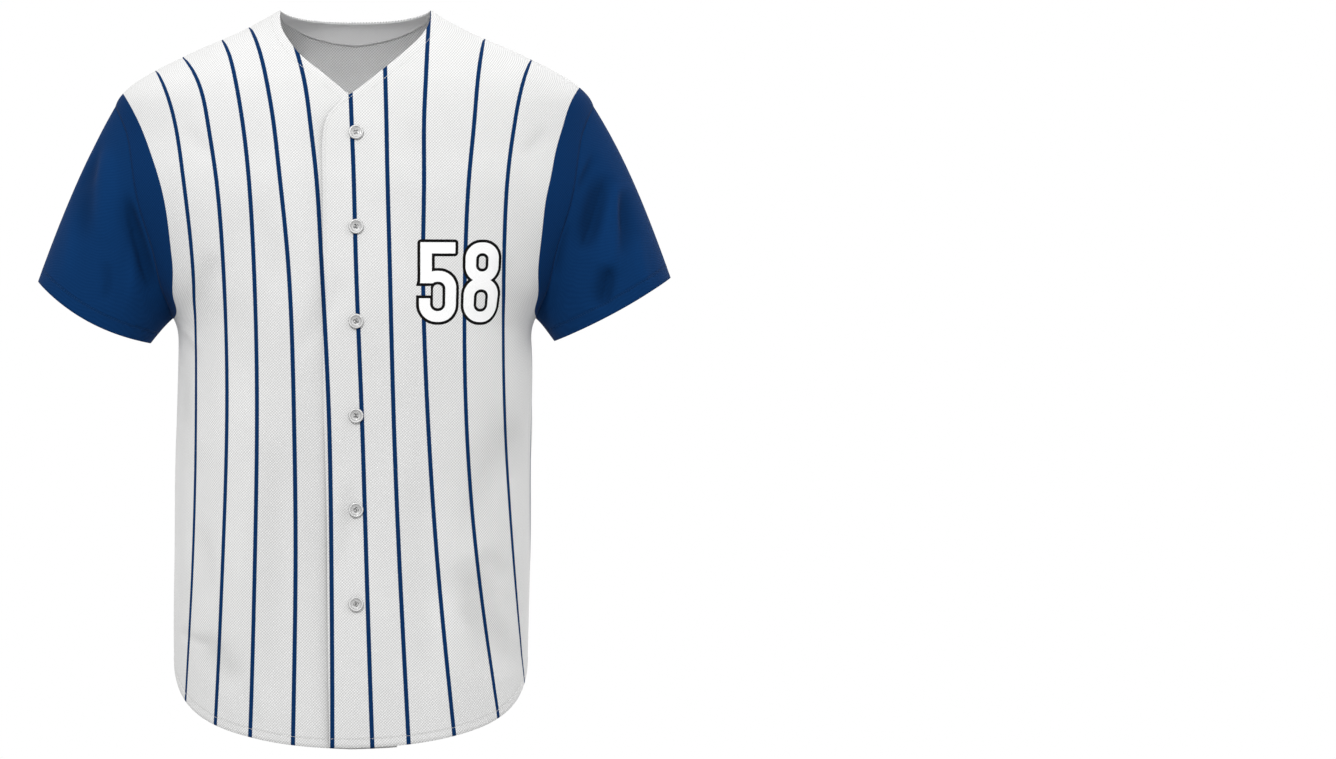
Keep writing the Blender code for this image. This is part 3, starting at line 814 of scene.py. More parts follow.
def panel_values(name, outer, grid):
    """What the shader needs to know at each point of a body panel."""
    face = FACE_OF[name]
    drop = grid[..., 1]
    arc = looked_up(ARCS[face], ARC_ANGLES, drop, followed_angle(face, outer, grid[..., 0]))
    numbers, gaps = STRIPE_TABLES[face]
    edges = edges_of(name, outer)
    values = {
        "weave": np.stack([arc, -drop, np.zeros(drop.shape)], axis=-1),
        "stripe": looked_up(numbers, STRIPE_REACH, drop, arc),
        "stripe_gap": looked_up(gaps, STRIPE_REACH, drop, arc),
        "print_depth": print_depth(face, outer),
    }
    for edge in ("hem", "neck", "placket", "armhole"):
        lines = [distance_to(outer, line[::2]) for line in edges.get(edge, [])]
        values[edge + "_distance"] = np.min(lines, axis=0) if lines else np.full(drop.shape, FAR)
    # How deep each point lies in a fold, for painted shade in the troughs and a painted highlight on the
    # ridges
    values["painted_fold_shade"] = crease_of(body_relief(face, torso(face, grid[..., 0], drop), drop))
    under = name == "front_right"
    values["edge_away"] = TOP_EDGE("x", drop) - outer[..., 0] if under else np.full(drop.shape, FAR)
    for part in ("soft", "core"):
        strength = EDGE_SHADE(part, np.clip(drop, PLACKET_START, None))
        values["edge_" + part] = np.clip(strength, 0, 1) * (drop > PLACKET_START) * under
    return values


# %% [markdown]
# ## A cloth wall with a rounded rim
# Each piece is a thin closed shell: an outer skin, an inner skin and a rim that is pushed out a
# little, like the folded edge of a hem. The values above are stored on its points by name, and
# the inner skin is marked, because a print shows on one side only.

# %% Build a shell
RIM_ROUNDING = 0.35


def rim_points(outer, inner, neighbours):
    """The crest of the rim, between the two skins and slightly outside them."""
    outward = unit(outer - neighbours)
    middle = (outer + inner) / 2
    return middle + outward * np.linalg.norm(outer - inner, axis=1, keepdims=True) * RIM_ROUNDING


def perimeter(rows, columns):
    """Indices round a grid, and the index next to each, towards its inside."""
    loop = [(0, i) for i in range(columns - 1)]
    loop += [(j, columns - 1) for j in range(rows - 1)]
    loop += [(rows - 1, i) for i in range(columns - 1, 0, -1)]
    loop += [(j, 0) for j in range(rows - 1, 0, -1)]
    inside = [(min(max(j, 1), rows - 2), min(max(i, 1), columns - 2)) for j, i in loop]
    return [j * columns + i for j, i in loop], [j * columns + i for j, i in inside]


def shell_faces(rows, columns, around):
    """Quads of the outer skin and of the inner skin, as indices."""
    across = np.arange(columns if around else columns - 1)
    j, i = np.meshgrid(np.arange(rows - 1), across, indexing="ij")
    following = (i + 1) % columns
    low = j * columns
    high = (j + 1) * columns
    quads = np.stack((low + i, low + following, high + following, high + i), axis=-1).reshape(-1, 4)
    return quads, quads[:, ::-1] + rows * columns


def rim_faces(loop, first_rim, inner_start):
    """Two bands that join the outer loop to the crest, and the crest to the inner loop."""
    outer_loop = np.array(loop)
    crest = first_rim + np.arange(len(loop))
    following = np.roll(outer_loop, -1)
    next_crest = np.roll(crest, -1)
    upper = np.stack([following, outer_loop, crest, next_crest], axis=1)
    lower = np.stack([next_crest, crest, outer_loop + inner_start, following + inner_start], axis=1)
    return np.concatenate([upper, lower])


# %% Put a shell together
def shell(name, outer, inner, values, around=False, rim_printed=True):
    rows, columns = outer.shape[:2]
    skin = rows * columns
    flat_outer = outer.reshape(-1, 3)
    flat_inner = inner.reshape(-1, 3)
    if around:
        low = list(range(columns))
        high = [(rows - 1) * columns + i for i in range(columns - 1, -1, -1)]
        loops = [(low, [i + columns for i in low]), (high, [i - columns for i in high])]
    else:
        loops = [perimeter(rows, columns)]
    points = [flat_outer, flat_inner]
    source = [np.arange(skin), np.arange(skin)]
    inside = [np.zeros(skin), np.ones(skin)]
    faces = list(shell_faces(rows, columns, around))
    count = 2 * skin
    for loop, neighbours in loops:
        points.append(rim_points(flat_outer[loop], flat_inner[loop], flat_outer[neighbours]))
        source.append(np.array(loop))
        inside.append(np.full(len(loop), 0.0 if rim_printed else 1.0))
        faces.append(rim_faces(loop, count, skin))
        count += len(loop)
    points = np.concatenate(points) * MM
    faces = np.concatenate(faces)
    corner = points[faces[0]]
    facing = np.cross(corner[1] - corner[0], corner[2] - corner[0])
    if facing @ (flat_outer - flat_inner)[faces[0][0]] < 0:
        faces = faces[:, ::-1]
    mesh = bpy.data.meshes.new(name)
    mesh.from_pydata(points.tolist(), [], faces.tolist())
    store(mesh, dict(values), np.concatenate(source), np.concatenate(inside))
    mesh.shade_smooth()
    obj = bpy.data.objects.new(name, mesh)
    bpy.context.scene.collection.objects.link(obj)
    return obj


def store(mesh, values, source, inside):
    """Stores each named value on the points of a mesh, in millimetres."""
    for name, value in values.items():
        kind = "FLOAT_VECTOR" if value.ndim == 3 else "FLOAT"
        layer = mesh.attributes.new(name, kind, "POINT")
        flat = value.reshape(-1, 3) if value.ndim == 3 else value.reshape(-1)
        layer.data.foreach_set("vector" if value.ndim == 3 else "value", flat[source].ravel())
    layer = mesh.attributes.new("inside", "FLOAT", "POINT")
    layer.data.foreach_set("value", inside)


# %% Make the three body panels
pieces = {}
values_of = {}
for name, (outer, normal) in panels.items():
    values_of[name] = panel_values(name, outer, grids[name])
    printed_rim = name != "back"
    pieces[name] = shell(
        name + "_cloth",
        outer,
        outer - normal * WALL,
        values_of[name],
        rim_printed=printed_rim,
    )
    print(name, "faces:", len(pieces[name].data.polygons))

# %% [markdown]
# ## Sleeves
# A set-in sleeve is a tube sewn into the armhole. Its rings start on the armhole's own points, so
# the seam is closed, leave at an angle that eases away from the shoulder, and end in the tilted
# oval of the open end. Folds run from the armpit and from the top of the seam.

# %% Where the sleeves end, and their folds
# The open end of each sleeve: its place, its lean, half its width, the bow of its hem, and how
# far the top of the sleeve lifts as it leaves the shoulder
SLEEVE_ENDS = {
    "left": {"x": 266.8, "drop": 309.8, "lean": 28.6, "half_width": 68.5, "bow": 3.5, "lift": 0.72},
    "right": {"x": 269.0, "drop": 313.0, "lean": 28.8, "half_width": 66.5, "bow": 10.5, "lift": 0.57},
}
SLEEVE_END_Y = -5.0
SLEEVE_HALF_DEPTH = 68.0
SLEEVE_STEPS = 60
LEAVE_PULL_UNDER = 0.35
LEAVE_PULL_OVER = 2.0
ARRIVE_PULL = 0.16
FOLD_TOP_FADE = 0.3
FOLD_START = 0.08
SEAM_BLEND = 0.06
SLEEVE_FOLDS = (
    ("front", -258, 136, -258, 246, 0, 12, 12, 3.5),
    ("front", -272, 140, -280, 250, 0, 12, 12, -3.0),
    ("front", -236, 190, -208, 300, 0, 10, 10, -4.0),
    ("front", 257, 168, 232, 256, 0, 10, 10, -4.5),
    ("front", 268, 176, 261, 276, 0, 10, 10, 4.0),
    ("front", 277, 182, 272, 262, 0, 12, 12, -4.0),
    ("front", 262, 262, 250, 312, 0, 10, 10, -4.0),
    ("front", -238, 183, -205, 300, -3, 3, 8, -2.6),
    ("front", -265, 128, -274, 186, 2, 6, 6, -1.6),
    ("front", -256, 258, -254, 306, 2, 6, 5, -1.8),
    ("front", -228, 226, -232, 312, 3, 7, 9, 1.6),
    ("front", -290, 200, -300, 290, 3, 8, 8, 1.2),
    ("front", 248, 146, 219, 196, 3, 3, 6, -2.4),
    ("front", 260, 168, 229, 256, 5, 4, 8, -2.6),
    ("front", 270, 176, 262, 276, 4, 5, 6, 2.0),
    ("front", 276, 184, 277, 236, -2, 4, 7, -2.0),
    ("front", 263, 264, 252, 310, 2, 4, 6, -2.2),
    ("front", 221, 216, 205, 284, -3, 7, 6, -2.4),
    ("front", 292, 230, 304, 296, -3, 8, 7, 1.3),
    ("back", -250, 190, -222, 300, 0, 12, 12, -4.5),
    ("back", -272, 160, -270, 270, 0, 12, 12, 3.5),
    ("back", 246, 180, 218, 296, 0, 12, 12, -4.5),
    ("back", 270, 150, 268, 260, 0, 12, 12, 3.5),
    ("back", -250, 122, -212, 318, -8, 5, 9, -2.6),
    ("back", -278, 106, -264, 196, 3, 6, 8, -2.0),
    ("back", -266, 214, -262, 300, 2, 7, 7, 1.4),
    ("back", 240, 118, 226, 168, 2, 6, 3, -2.2),
    ("back", 223, 186, 192, 304, 4, 9, 5, -2.4),
    ("back", 276, 172, 283, 262, 2, 5, 6, 1.6),
    ("back", 284, 196, 293, 292, 3, 6, 6, -2.0),
    ("back", 250, 240, 244, 306, -3, 7, 6, -1.6),
)

print("folds on the sleeves:", len(SLEEVE_FOLDS))


# %% Rings of a sleeve
def armhole_ring(side):
    """The seam's points and the directions that lead on from the body, all round the armhole."""
    seams = []
    normals = []
    for face in ("front", "back"):
        rows = side_and_armhole(face, side)[None, SIDE_STEPS:]
        panel = "back" if face == "back" else "front_left" if side > 0 else "front_right"
        seam, normal = cloth(panel, rows)
        order = slice(None, None, -1) if face == "front" else slice(None)
        seams.append(seam[0][order][:-1])
        normals.append(normal[0][order][:-1])
    seam = np.concatenate(seams)
    normal = np.concatenate(normals)
    tangent = unit(np.roll(seam, -1, axis=0) - np.roll(seam, 1, axis=0))
    away = unit(np.cross(normal, tangent))
    return seam, normal, away * np.sign(away[0, 0] * side)


def smooth_sleeve(side):
    """Rings of the sleeve before its folds, from the armhole to the open end."""
    seam, normal, away = armhole_ring(side)
    opening = SLEEVE_ENDS["left" if side > 0 else "right"]
    lean = math.radians(opening["lean"])
    axis = np.array((side * math.sin(lean), 0, -math.cos(lean)))
    outward = np.array((side * math.cos(lean), 0, math.sin(lean)))
    forward = np.array((0, -1, 0))
    centre = np.array((side * opening["x"], SLEEVE_END_Y, -opening["drop"]))
    turn = np.linspace(0, 2 * math.pi, len(seam), endpoint=False)[:, None]
    end = (
        centre
        + outward * opening["half_width"] * np.cos(turn)
        + forward * SLEEVE_HALF_DEPTH * np.sin(turn)
        + axis * opening["bow"] * np.sin(turn) ** 2
    )
    reach = np.linalg.norm(end - seam, axis=1, keepdims=True)
    over = np.clip(np.cos(turn), 0, 1)
    pull = LEAVE_PULL_UNDER + LEAVE_PULL_OVER * over
    leave = unit(axis + pull * away + opening["lift"] * over * outward) * reach
    arrive = unit(axis - ARRIVE_PULL * outward * np.cos(turn)) * reach
    t = np.linspace(0, 1, SLEEVE_STEPS + 1)[:, None, None]
    rings = (
        (2 * t**3 - 3 * t**2 + 1) * seam
        + (t**3 - 2 * t**2 + t) * leave
        + (3 * t**2 - 2 * t**3) * end
        + (t**3 - t**2) * arrive
    )
    return rings, normal


# %% Fold a sleeve and measure it
def ring_normals(rings):
    around = np.roll(rings, -1, axis=1) - np.roll(rings, 1, axis=1)
    normal = unit(np.cross(around, np.gradient(rings, axis=0)))
    outward = rings - rings.mean(axis=1, keepdims=True)
    return normal * np.sign(np.sum(normal * outward))


def sleeve(side):
    rings, seam_normal = smooth_sleeve(side)
    normal = ring_normals(rings)
    t = np.linspace(0, 1, len(rings))[:, None]
    from_top = rings[..., 1] - SLEEVE_END_Y
    fade = smooth_step(np.abs(from_top) / (SLEEVE_HALF_DEPTH * FOLD_TOP_FADE))
    fade = fade * smooth_step(t / FOLD_START)
    relief = np.zeros(from_top.shape)
    for face, on_face in (("front", from_top < 0), ("back", from_top > 0)):
        relief += fold_height(face, rings[..., 0], -rings[..., 2], SLEEVE_FOLDS) * fade * on_face
    rings = rings + normal * relief[..., None]
    normal = ring_normals(rings)
    start = (1 - smooth_step(t / SEAM_BLEND))[..., None]
    # The depth of the folds is passed on for painted shade in troughs and a painted highlight on ridges
    return rings, unit(normal * (1 - start) + seam_normal * start), crease_of(relief)


def along_rows(points):
    """The distance of each row from the first one, measured along the cloth."""
    step = np.linalg.norm(np.diff(points, axis=0), axis=-1)
    return np.concatenate([np.zeros((1, points.shape[1])), np.cumsum(step, axis=0)])


def sleeve_values(rings, painted_fold_shade):
    length = along_rows(rings)
    step = np.linalg.norm(rings - np.roll(rings, 1, axis=1), axis=-1)
    around = np.cumsum(step, axis=1) - step[:, :1]
    back_again = step.sum(axis=1, keepdims=True) - around
    first_half = np.arange(rings.shape[1]) <= rings.shape[1] // 2
    around = np.where(first_half, around, back_again)
    return {
        "weave": np.stack([around, -length, np.zeros(length.shape)], axis=-1),
        "hem_distance": length[-1] - length,
        "armhole_distance": length,
        "painted_fold_shade": painted_fold_shade,
    }


# %% Make both sleeves
SIDES = {"left": 1, "right": -1}
sleeves = {}
for side_name, side in SIDES.items():
    rings, normal, painted_fold_shade = sleeve(side)
    sleeves[side_name] = (rings, normal)
    name = "sleeve_" + side_name
    values = sleeve_values(rings, painted_fold_shade)
    pieces[name] = shell(name + "_cloth", rings, rings - normal * WALL, values, around=True)
    round_the_end = np.linalg.norm(np.diff(rings[-1], axis=0), axis=1).sum()
    print(name, "round the open end, mm:", round(float(round_the_end)))

# %% [markdown]
# ## Neck facing
# A band is sewn inside the back of the neck so that the raw edge doesn't show. It is made from
# the back panel's own top rows, moved inward, so it follows every curve of the neck.

# %% Make the neck facing
FACING_DEPTH_MIDDLE = 33.0
FACING_DEPTH_SIDE = 20.0
FACING_INSET = 0.6
FACING_GAP = 0.12
FACING_WALL = 0.4
FACING_STEPS = 14


def facing_grid():
    outer, normal = panels["back"]
    columns = range(BACK_RIDGE_COLUMNS, BACK_RIDGE_COLUMNS + BACK_NECK_COLUMNS + 1)
    lines = []
    inward = []
    for place, column in enumerate(columns):
        from_middle = abs(2 * place / BACK_NECK_COLUMNS - 1)
        depth = FACING_DEPTH_MIDDLE + (FACING_DEPTH_SIDE - FACING_DEPTH_MIDDLE) * from_middle
        line = (outer - normal * WALL)[::-1, column]
        length = along_rows(line[:, None])[:, 0]
        stops = np.linspace(FACING_INSET, depth, FACING_STEPS)
        lines.append([[np.interp(stop, length, line[:, k]) for k in range(3)] for stop in stops])
        turned = -normal[::-1, column]
        inward.append([[np.interp(stop, length, turned[:, k]) for k in range(3)] for stop in stops])
    inward = unit(np.array(inward))
    return np.array(lines) + inward * FACING_GAP, inward


facing_outer, facing_inward = facing_grid()
facing_down = along_rows(facing_outer.transpose(1, 0, 2)).T
facing_along = along_rows(facing_outer)
facing_values = {
    "weave": np.stack([facing_along, -facing_down, np.zeros(facing_down.shape)], axis=-1),
    "hem_distance": facing_down[:, -1:] - facing_down,
}
pieces["neck_facing"] = shell(
    "neck_facing_cloth",
    facing_outer + facing_inward * FACING_WALL,
    facing_outer,
    facing_values,
)
print("neck facing length, mm:", round(float(facing_along[-1, 0])))

# %% [markdown]
# ## Buttons
# Six four-hole buttons close the front. A real one is turned on a lathe, so its section is spun
# round here in the same way: a raised rim, a groove inside it and a dished middle. The four holes
# are drilled with one Boolean, and two short lengths of thread cross the middle.

# %% The section of a button
BUTTON_COUNT = 6
BUTTON_X = 1.5
BUTTON_FIRST_DROP = 131.0
BUTTON_PITCH = 96.0
BUTTON_SEGMENTS = 64
BUTTON_HOLE_RADIUS = 0.85
BUTTON_HOLE_SPREAD = 1.75
BUTTON_GAP = 0.3
BUTTON_CREASE = math.radians(45)
# How much painted shade each radius gets: the groove, the dish and the outer edge gather less light than
# the rim
BUTTON_SHADE = (
    (0, 0.8),
    (4.4, 0.8),
    (4.9, 1.5),
    (5.6, 1.8),
    (6.1, 0.1),
    (6.9, 0.0),
    (7.2, 1.3),
    (7.6, 2.2),
)
HOLE_SHADE = 2.8
HOLE_SHADE_REACH = 1.05
# Radius and height of the turned section, from the back round the rim to the middle
BUTTON_SECTION = (
    (5.80, 0.00),
    (6.50, 0.10),
    (7.15, 0.42),
    (7.50, 0.90),
    (7.65, 1.50),
    (7.55, 2.10),
    (7.20, 2.62),
    (6.75, 2.90),
    (6.30, 2.98),
    (5.95, 2.86),
    (5.70, 2.52),
    (5.50, 2.24),
    (5.20, 2.18),
    (4.75, 2.22),
    (4.35, 2.02),
    (3.85, 1.55),
    (3.20, 1.28),
    (1.65, 1.15),
)
print("points along a button's section:", len(BUTTON_SECTION))


# %% Turn the section round
def turned_blank():
    shape = bmesh.new()
    turns = [2 * math.pi * k / BUTTON_SEGMENTS for k in range(BUTTON_SEGMENTS)]
    rings = []
    for radius, height in BUTTON_SECTION:
        flat = [(radius * math.cos(turn), radius * math.sin(turn)) for turn in turns]
        rings.append([shape.verts.new(Vector((x, y, height)) * MM) for x, y in flat])
    for low, high in zip(rings, rings[1:]):
        for k in range(BUTTON_SEGMENTS):
            following = (k + 1) % BUTTON_SEGMENTS
            shape.faces.new((low[k], low[following], high[following], high[k]))
    shape.faces.new(rings[-1])
    shape.faces.new(rings[0][::-1])
    mesh = bpy.data.meshes.new("button_blank")
    shape.to_mesh(mesh)
    shape.free()
    return mesh


# %% Drill its holes and paint its shade
HOLE_COUNT = 4
DRILL_SIDES = 16
DRILL_LENGTH = 12.0


def hole_turns():
    """The directions of the holes, seen from the middle of the button."""
    return [math.pi / 4 + math.pi / 2 * k for k in range(HOLE_COUNT)]


def drill():
    shape = bmesh.new()
    for turn in hole_turns():
        made = bmesh.ops.create_cone(
            shape,
            cap_ends=True,
            segments=DRILL_SIDES,
            radius1=BUTTON_HOLE_RADIUS * MM,
            radius2=BUTTON_HOLE_RADIUS * MM,
            depth=DRILL_LENGTH * MM,
        )
        spot = Vector((math.cos(turn), math.sin(turn), 0)) * BUTTON_HOLE_SPREAD * MM
        bmesh.ops.translate(shape, vec=spot, verts=made["verts"])
    mesh = bpy.data.meshes.new("button_drill")
    shape.to_mesh(mesh)
    shape.free()
    return mesh


def shade_button(mesh):
    """Stores how much painted shade each point of a button gets, most of all inside its holes."""
    spots = np.array([point.co for point in mesh.vertices]) / MM
    shade = np.interp(np.hypot(spots[:, 0], spots[:, 1]), *np.array(BUTTON_SHADE).T)
    for turn in hole_turns():
        middle = np.array((math.cos(turn), math.sin(turn))) * BUTTON_HOLE_SPREAD
        in_hole = np.linalg.norm(spots[:, :2] - middle, axis=1) < HOLE_SHADE_REACH
        shade = np.where(in_hole, HOLE_SHADE, shade)
    layer = mesh.attributes.new("button_shade", "FLOAT", "POINT")
    layer.data.foreach_set("value", shade)


def drilled_button():
    blank = bpy.data.objects.new("button_blank", turned_blank())
    cutter = bpy.data.objects.new("button_drill", drill())
    for obj in (blank, cutter):
        bpy.context.scene.collection.objects.link(obj)
    cut = blank.modifiers.new("holes", "BOOLEAN")
    cut.operation = "DIFFERENCE"
    cut.object = cutter
    bpy.context.view_layer.update()
    graph = bpy.context.evaluated_depsgraph_get()
    mesh = bpy.data.meshes.new_from_object(blank.evaluated_get(graph))
    for obj in (blank, cutter):
        bpy.data.objects.remove(obj)
    mesh.shade_smooth()
    mesh.set_sharp_from_angle(angle=BUTTON_CREASE)
    shade_button(mesh)
    return mesh


button_mesh = drilled_button()
print("faces of a button:", len(button_mesh.polygons))

# %% Thread through the holes
THREAD_RADIUS = 0.33
THREAD_ARCH = (
    (-1.75, 0.7),
    (-1.55, 1.35),
    (-0.9, 1.65),
    (0.0, 1.75),
    (0.9, 1.65),
    (1.55, 1.35),
    (1.75, 0.7),
)
THREAD_SIDES = 8


def thread_mesh():
    """Two parallel strands, each a tube that dips into a hole at either end."""
    shape = bmesh.new()
    half = BUTTON_HOLE_SPREAD / math.sqrt(2)
    for across in (-half, half):
        rings = []
        for place, (along, height) in enumerate(THREAD_ARCH):
            before = THREAD_ARCH[max(place - 1, 0)]
            after = THREAD_ARCH[min(place + 1, len(THREAD_ARCH) - 1)]
            forward = (after[0] - before[0]) * half / BUTTON_HOLE_SPREAD
            run = Vector((0, forward, after[1] - before[1])).normalized()
            up = Vector((1, 0, 0)).cross(run)
            centre = Vector((across, along * half / BUTTON_HOLE_SPREAD, height))
            ring = []
            for k in range(THREAD_SIDES):
                turn = 2 * math.pi * k / THREAD_SIDES
                side = Vector((1, 0, 0)) * math.cos(turn) + up * math.sin(turn)
                ring.append(shape.verts.new((centre + side * THREAD_RADIUS) * MM))
            rings.append(ring)
        for low, high in zip(rings, rings[1:]):
            for k in range(THREAD_SIDES):
                following = (k + 1) % THREAD_SIDES
                shape.faces.new((low[k], low[following], high[following], high[k]))
        shape.faces.new(rings[0])
        shape.faces.new(rings[-1])
    bmesh.ops.recalc_face_normals(shape, faces=shape.faces)
    mesh = bpy.data.meshes.new("button_thread")
    shape.to_mesh(mesh)
    shape.free()
    mesh.shade_smooth()
    return mesh


def placed(name, mesh, spot, normal, turn):
    """A copy of a mesh that stands on a spot of the cloth, its points moved there."""
    copy = mesh.copy()
    matrix = Vector(normal).to_track_quat("Z", "Y").to_matrix().to_4x4()
    matrix.translation = Vector(spot) * MM
    copy.transform(matrix @ turn)
    obj = bpy.data.objects.new(name, copy)
    bpy.context.scene.collection.objects.link(obj)
    return obj


BUTTON_TURNS = (8, -14, 22, -4, 35, -24)
threads = {}
loose_thread = thread_mesh()
for number, turn in zip(range(1, BUTTON_COUNT + 1), BUTTON_TURNS):
    drop = BUTTON_FIRST_DROP + (number - 1) * BUTTON_PITCH
    spot, normal = cloth("front_left", np.array([[(float(angle_at(BUTTON_X, drop)), drop)]]))
    seat = spot[0, 0] + normal[0, 0] * BUTTON_GAP
    turned = Matrix.Rotation(math.radians(turn), 4, "Z")
    name = "button_" + str(number)
    pieces[name] = placed(name + "_turned", button_mesh, seat, normal[0, 0], turned)
    threads[number] = placed(name + "_thread", loose_thread, seat, normal[0, 0], turned)
print("buttons:", BUTTON_COUNT)

# %% [markdown]
# ## Stitches
# Hems, the neckline and the edge of the front are held by rows of lockstitch. Each stitch is a
# short rounded length of thread that lies along the row, with a small gap to the next one. A row
# is a curve on the cloth, and one Geometry Nodes tree lays the stitches along it: it measures the
# curve out in steps of the pitch, puts a stitch at each step and turns it along the row.

# %% The stitching tree
def input_of(tree, name):
    return next(item.identifier for item in tree.interface.items_tree if item.name == name)


STITCH_SIZES = (("Pitch", 0.0029), ("Stitch length", 0.0023), ("Thread thickness", 0.00045))
BEAD_SEGMENTS = 8
BEAD_RINGS = 6


def stitching_tree():
    tree = bpy.data.node_groups.new("lay stitches along a row", "GeometryNodeTree")
    tree.interface.new_socket(name="Row", in_out="INPUT", socket_type="NodeSocketGeometry")
    for name, size in STITCH_SIZES:
        socket = tree.interface.new_socket(name=name, in_out="INPUT", socket_type="NodeSocketFloat")
        socket.default_value = size
    tree.interface.new_socket(name="Thread", in_out="INPUT", socket_type="NodeSocketMaterial")
    tree.interface.new_socket(name="Stitches", in_out="OUTPUT", socket_type="NodeSocketGeometry")
    nodes = tree.nodes
    link = tree.links.new
    given = nodes.new("NodeGroupInput")
    result = nodes.new("NodeGroupOutput")
    steps = nodes.new("GeometryNodeResampleCurve")
    steps.mode = "LENGTH"
    link(given.outputs["Row"], steps.inputs["Curve"])
    link(given.outputs["Pitch"], steps.inputs["Length"])
    bead = nodes.new("GeometryNodeMeshUVSphere")
    bead.inputs["Segments"].default_value = BEAD_SEGMENTS
    bead.inputs["Rings"].default_value = BEAD_RINGS
    bead.inputs["Radius"].default_value = 0.5
    size = nodes.new("ShaderNodeCombineXYZ")
    link(given.outputs["Stitch length"], size.inputs["X"])
    link(given.outputs["Thread thickness"], size.inputs["Y"])
    link(given.outputs["Thread thickness"], size.inputs["Z"])
    tangent = nodes.new("GeometryNodeInputTangent")
    turn = nodes.new("FunctionNodeAlignRotationToVector")
    turn.axis = "X"
    link(tangent.outputs["Tangent"], turn.inputs["Vector"])
    placed_stitches = nodes.new("GeometryNodeInstanceOnPoints")
    link(steps.outputs["Curve"], placed_stitches.inputs["Points"])
    link(bead.outputs["Mesh"], placed_stitches.inputs["Instance"])
    link(turn.outputs["Rotation"], placed_stitches.inputs["Rotation"])
    link(size.outputs["Vector"], placed_stitches.inputs["Scale"])
    real = nodes.new("GeometryNodeRealizeInstances")
    link(placed_stitches.outputs["Instances"], real.inputs["Geometry"])
    smooth = nodes.new("GeometryNodeSetShadeSmooth")
    link(real.outputs["Geometry"], smooth.inputs["Geometry"])
    finish = nodes.new("GeometryNodeSetMaterial")
    link(smooth.outputs["Geometry"], finish.inputs["Geometry"])
    link(given.outputs["Thread"], finish.inputs["Material"])
    link(finish.outputs["Geometry"], result.inputs["Stitches"])
    return tree


STITCHING = stitching_tree()
print("stitching tree:", STITCHING.name, "nodes:", len(STITCHING.nodes))

# %% Rows for the stitches
HEM_LINE_DISTANCE = 8.5
EDGE_LINE_DISTANCE = 2.8
NECK_LINE_DISTANCE = 9.0
SLEEVE_LINE_DISTANCES = (12.4, 14.0)
FACING_LINE_DISTANCE = 2.2
TOPSTITCH_END = 150.0
THREAD_LIFT = 0.08


def row_at(points, normal, distance):
    """The line that runs at a distance from the first row of a grid, just above the cloth."""
    length = along_rows(points)
    line = []
    for i in range(points.shape[1]):
        spot = [np.interp(distance, length[:, i], points[:, i, k]) for k in range(3)]
        up = [np.interp(distance, length[:, i], normal[:, i, k]) for k in range(3)]
        line.append(np.array(spot) + np.array(up) * THREAD_LIFT)
    return np.array(line)


def turned_over(grid):
    return grid.transpose(1, 0, 2)


def stitch_rows():
    rows = {}
    for name, (outer, normal) in panels.items():
        rows[name] = [row_at(outer, normal, HEM_LINE_DISTANCE)]
    for name in ("front_left", "front_right"):
        outer, normal = panels[name]
        across = row_at(turned_over(outer), turned_over(normal), NECK_LINE_DISTANCE)
        rows[name].append(across[-across[:, 2] < PLACKET_START])
    outer, normal = panels["front_left"]
    across = row_at(turned_over(outer), turned_over(normal), EDGE_LINE_DISTANCE)
    on_curve = (-across[:, 2] >= PLACKET_START) & (-across[:, 2] <= TOPSTITCH_END)
    rows["front_left"].append(across[on_curve])
    for side_name, (rings, normal) in sleeves.items():
        closed_rings = np.concatenate([rings, rings[:, :1]], axis=1)[::-1]
        closed_normal = np.concatenate([normal, normal[:, :1]], axis=1)[::-1]
        lines = [row_at(closed_rings, closed_normal, distance) for distance in SLEEVE_LINE_DISTANCES]
        rows["sleeve_" + side_name] = lines
    facing_face = facing_outer + facing_inward * FACING_WALL
    up_the_facing = turned_over(facing_face)[::-1]
    up_normal = turned_over(facing_inward)[::-1]
    rows["neck_facing"] = [row_at(up_the_facing, up_normal, FACING_LINE_DISTANCE)]
    outer, normal = panels["back"]
    neck = slice(BACK_RIDGE_COLUMNS, BACK_RIDGE_COLUMNS + BACK_NECK_COLUMNS + 1)
    rows["back"].append(row_at(outer[::-1, neck], normal[::-1, neck], NECK_LINE_DISTANCE))
    return rows


STITCH_ROWS = stitch_rows()
print("rows of stitches:", {name: len(lines) for name, lines in STITCH_ROWS.items()})


# %% Lay the stitches
def stitched(name, lines, thread):
    """One mesh of stitches along several rows."""
    curve = bpy.data.curves.new(name + "_rows", "CURVE")
    curve.dimensions = "3D"
    for line in lines:
        spline = curve.splines.new("POLY")
        spline.points.add(len(line) - 1)
        flat = np.concatenate([line * MM, np.ones((len(line), 1))], axis=1)
        spline.points.foreach_set("co", flat.ravel())
    guide = bpy.data.objects.new(name + "_rows", curve)
    bpy.context.scene.collection.objects.link(guide)
    sewing = guide.modifiers.new("stitches", "NODES")
    sewing.node_group = STITCHING
    sewing[input_of(STITCHING, "Thread")] = thread
    bpy.context.view_layer.update()
    graph = bpy.context.evaluated_depsgraph_get()
    mesh = bpy.data.meshes.new_from_object(guide.evaluated_get(graph))
    bpy.data.objects.remove(guide)
    obj = bpy.data.objects.new(name, mesh)
    bpy.context.scene.collection.objects.link(obj)
    return obj


# %% [markdown]
# ## Shader helpers
# Colours that vary over the cloth are worked out from the values stored on its points. A few
# small node groups do the shared work: the knit's eyelets, the stripes, the grooves that sewing
# leaves, and the blocks that the player's number is built from. Each has named inputs.

# %% Small shader building helpers
def plug(tree, socket, value):
    if isinstance(value, bpy.types.NodeSocket):
        tree.links.new(value, socket)
    else:
        socket.default_value = value


def calculated(tree, operation, *values):
    node = tree.nodes.new("ShaderNodeMath")
    node.operation = operation
    for socket, value in zip(node.inputs, values):
        plug(tree, socket, value)
    return node.outputs[0]


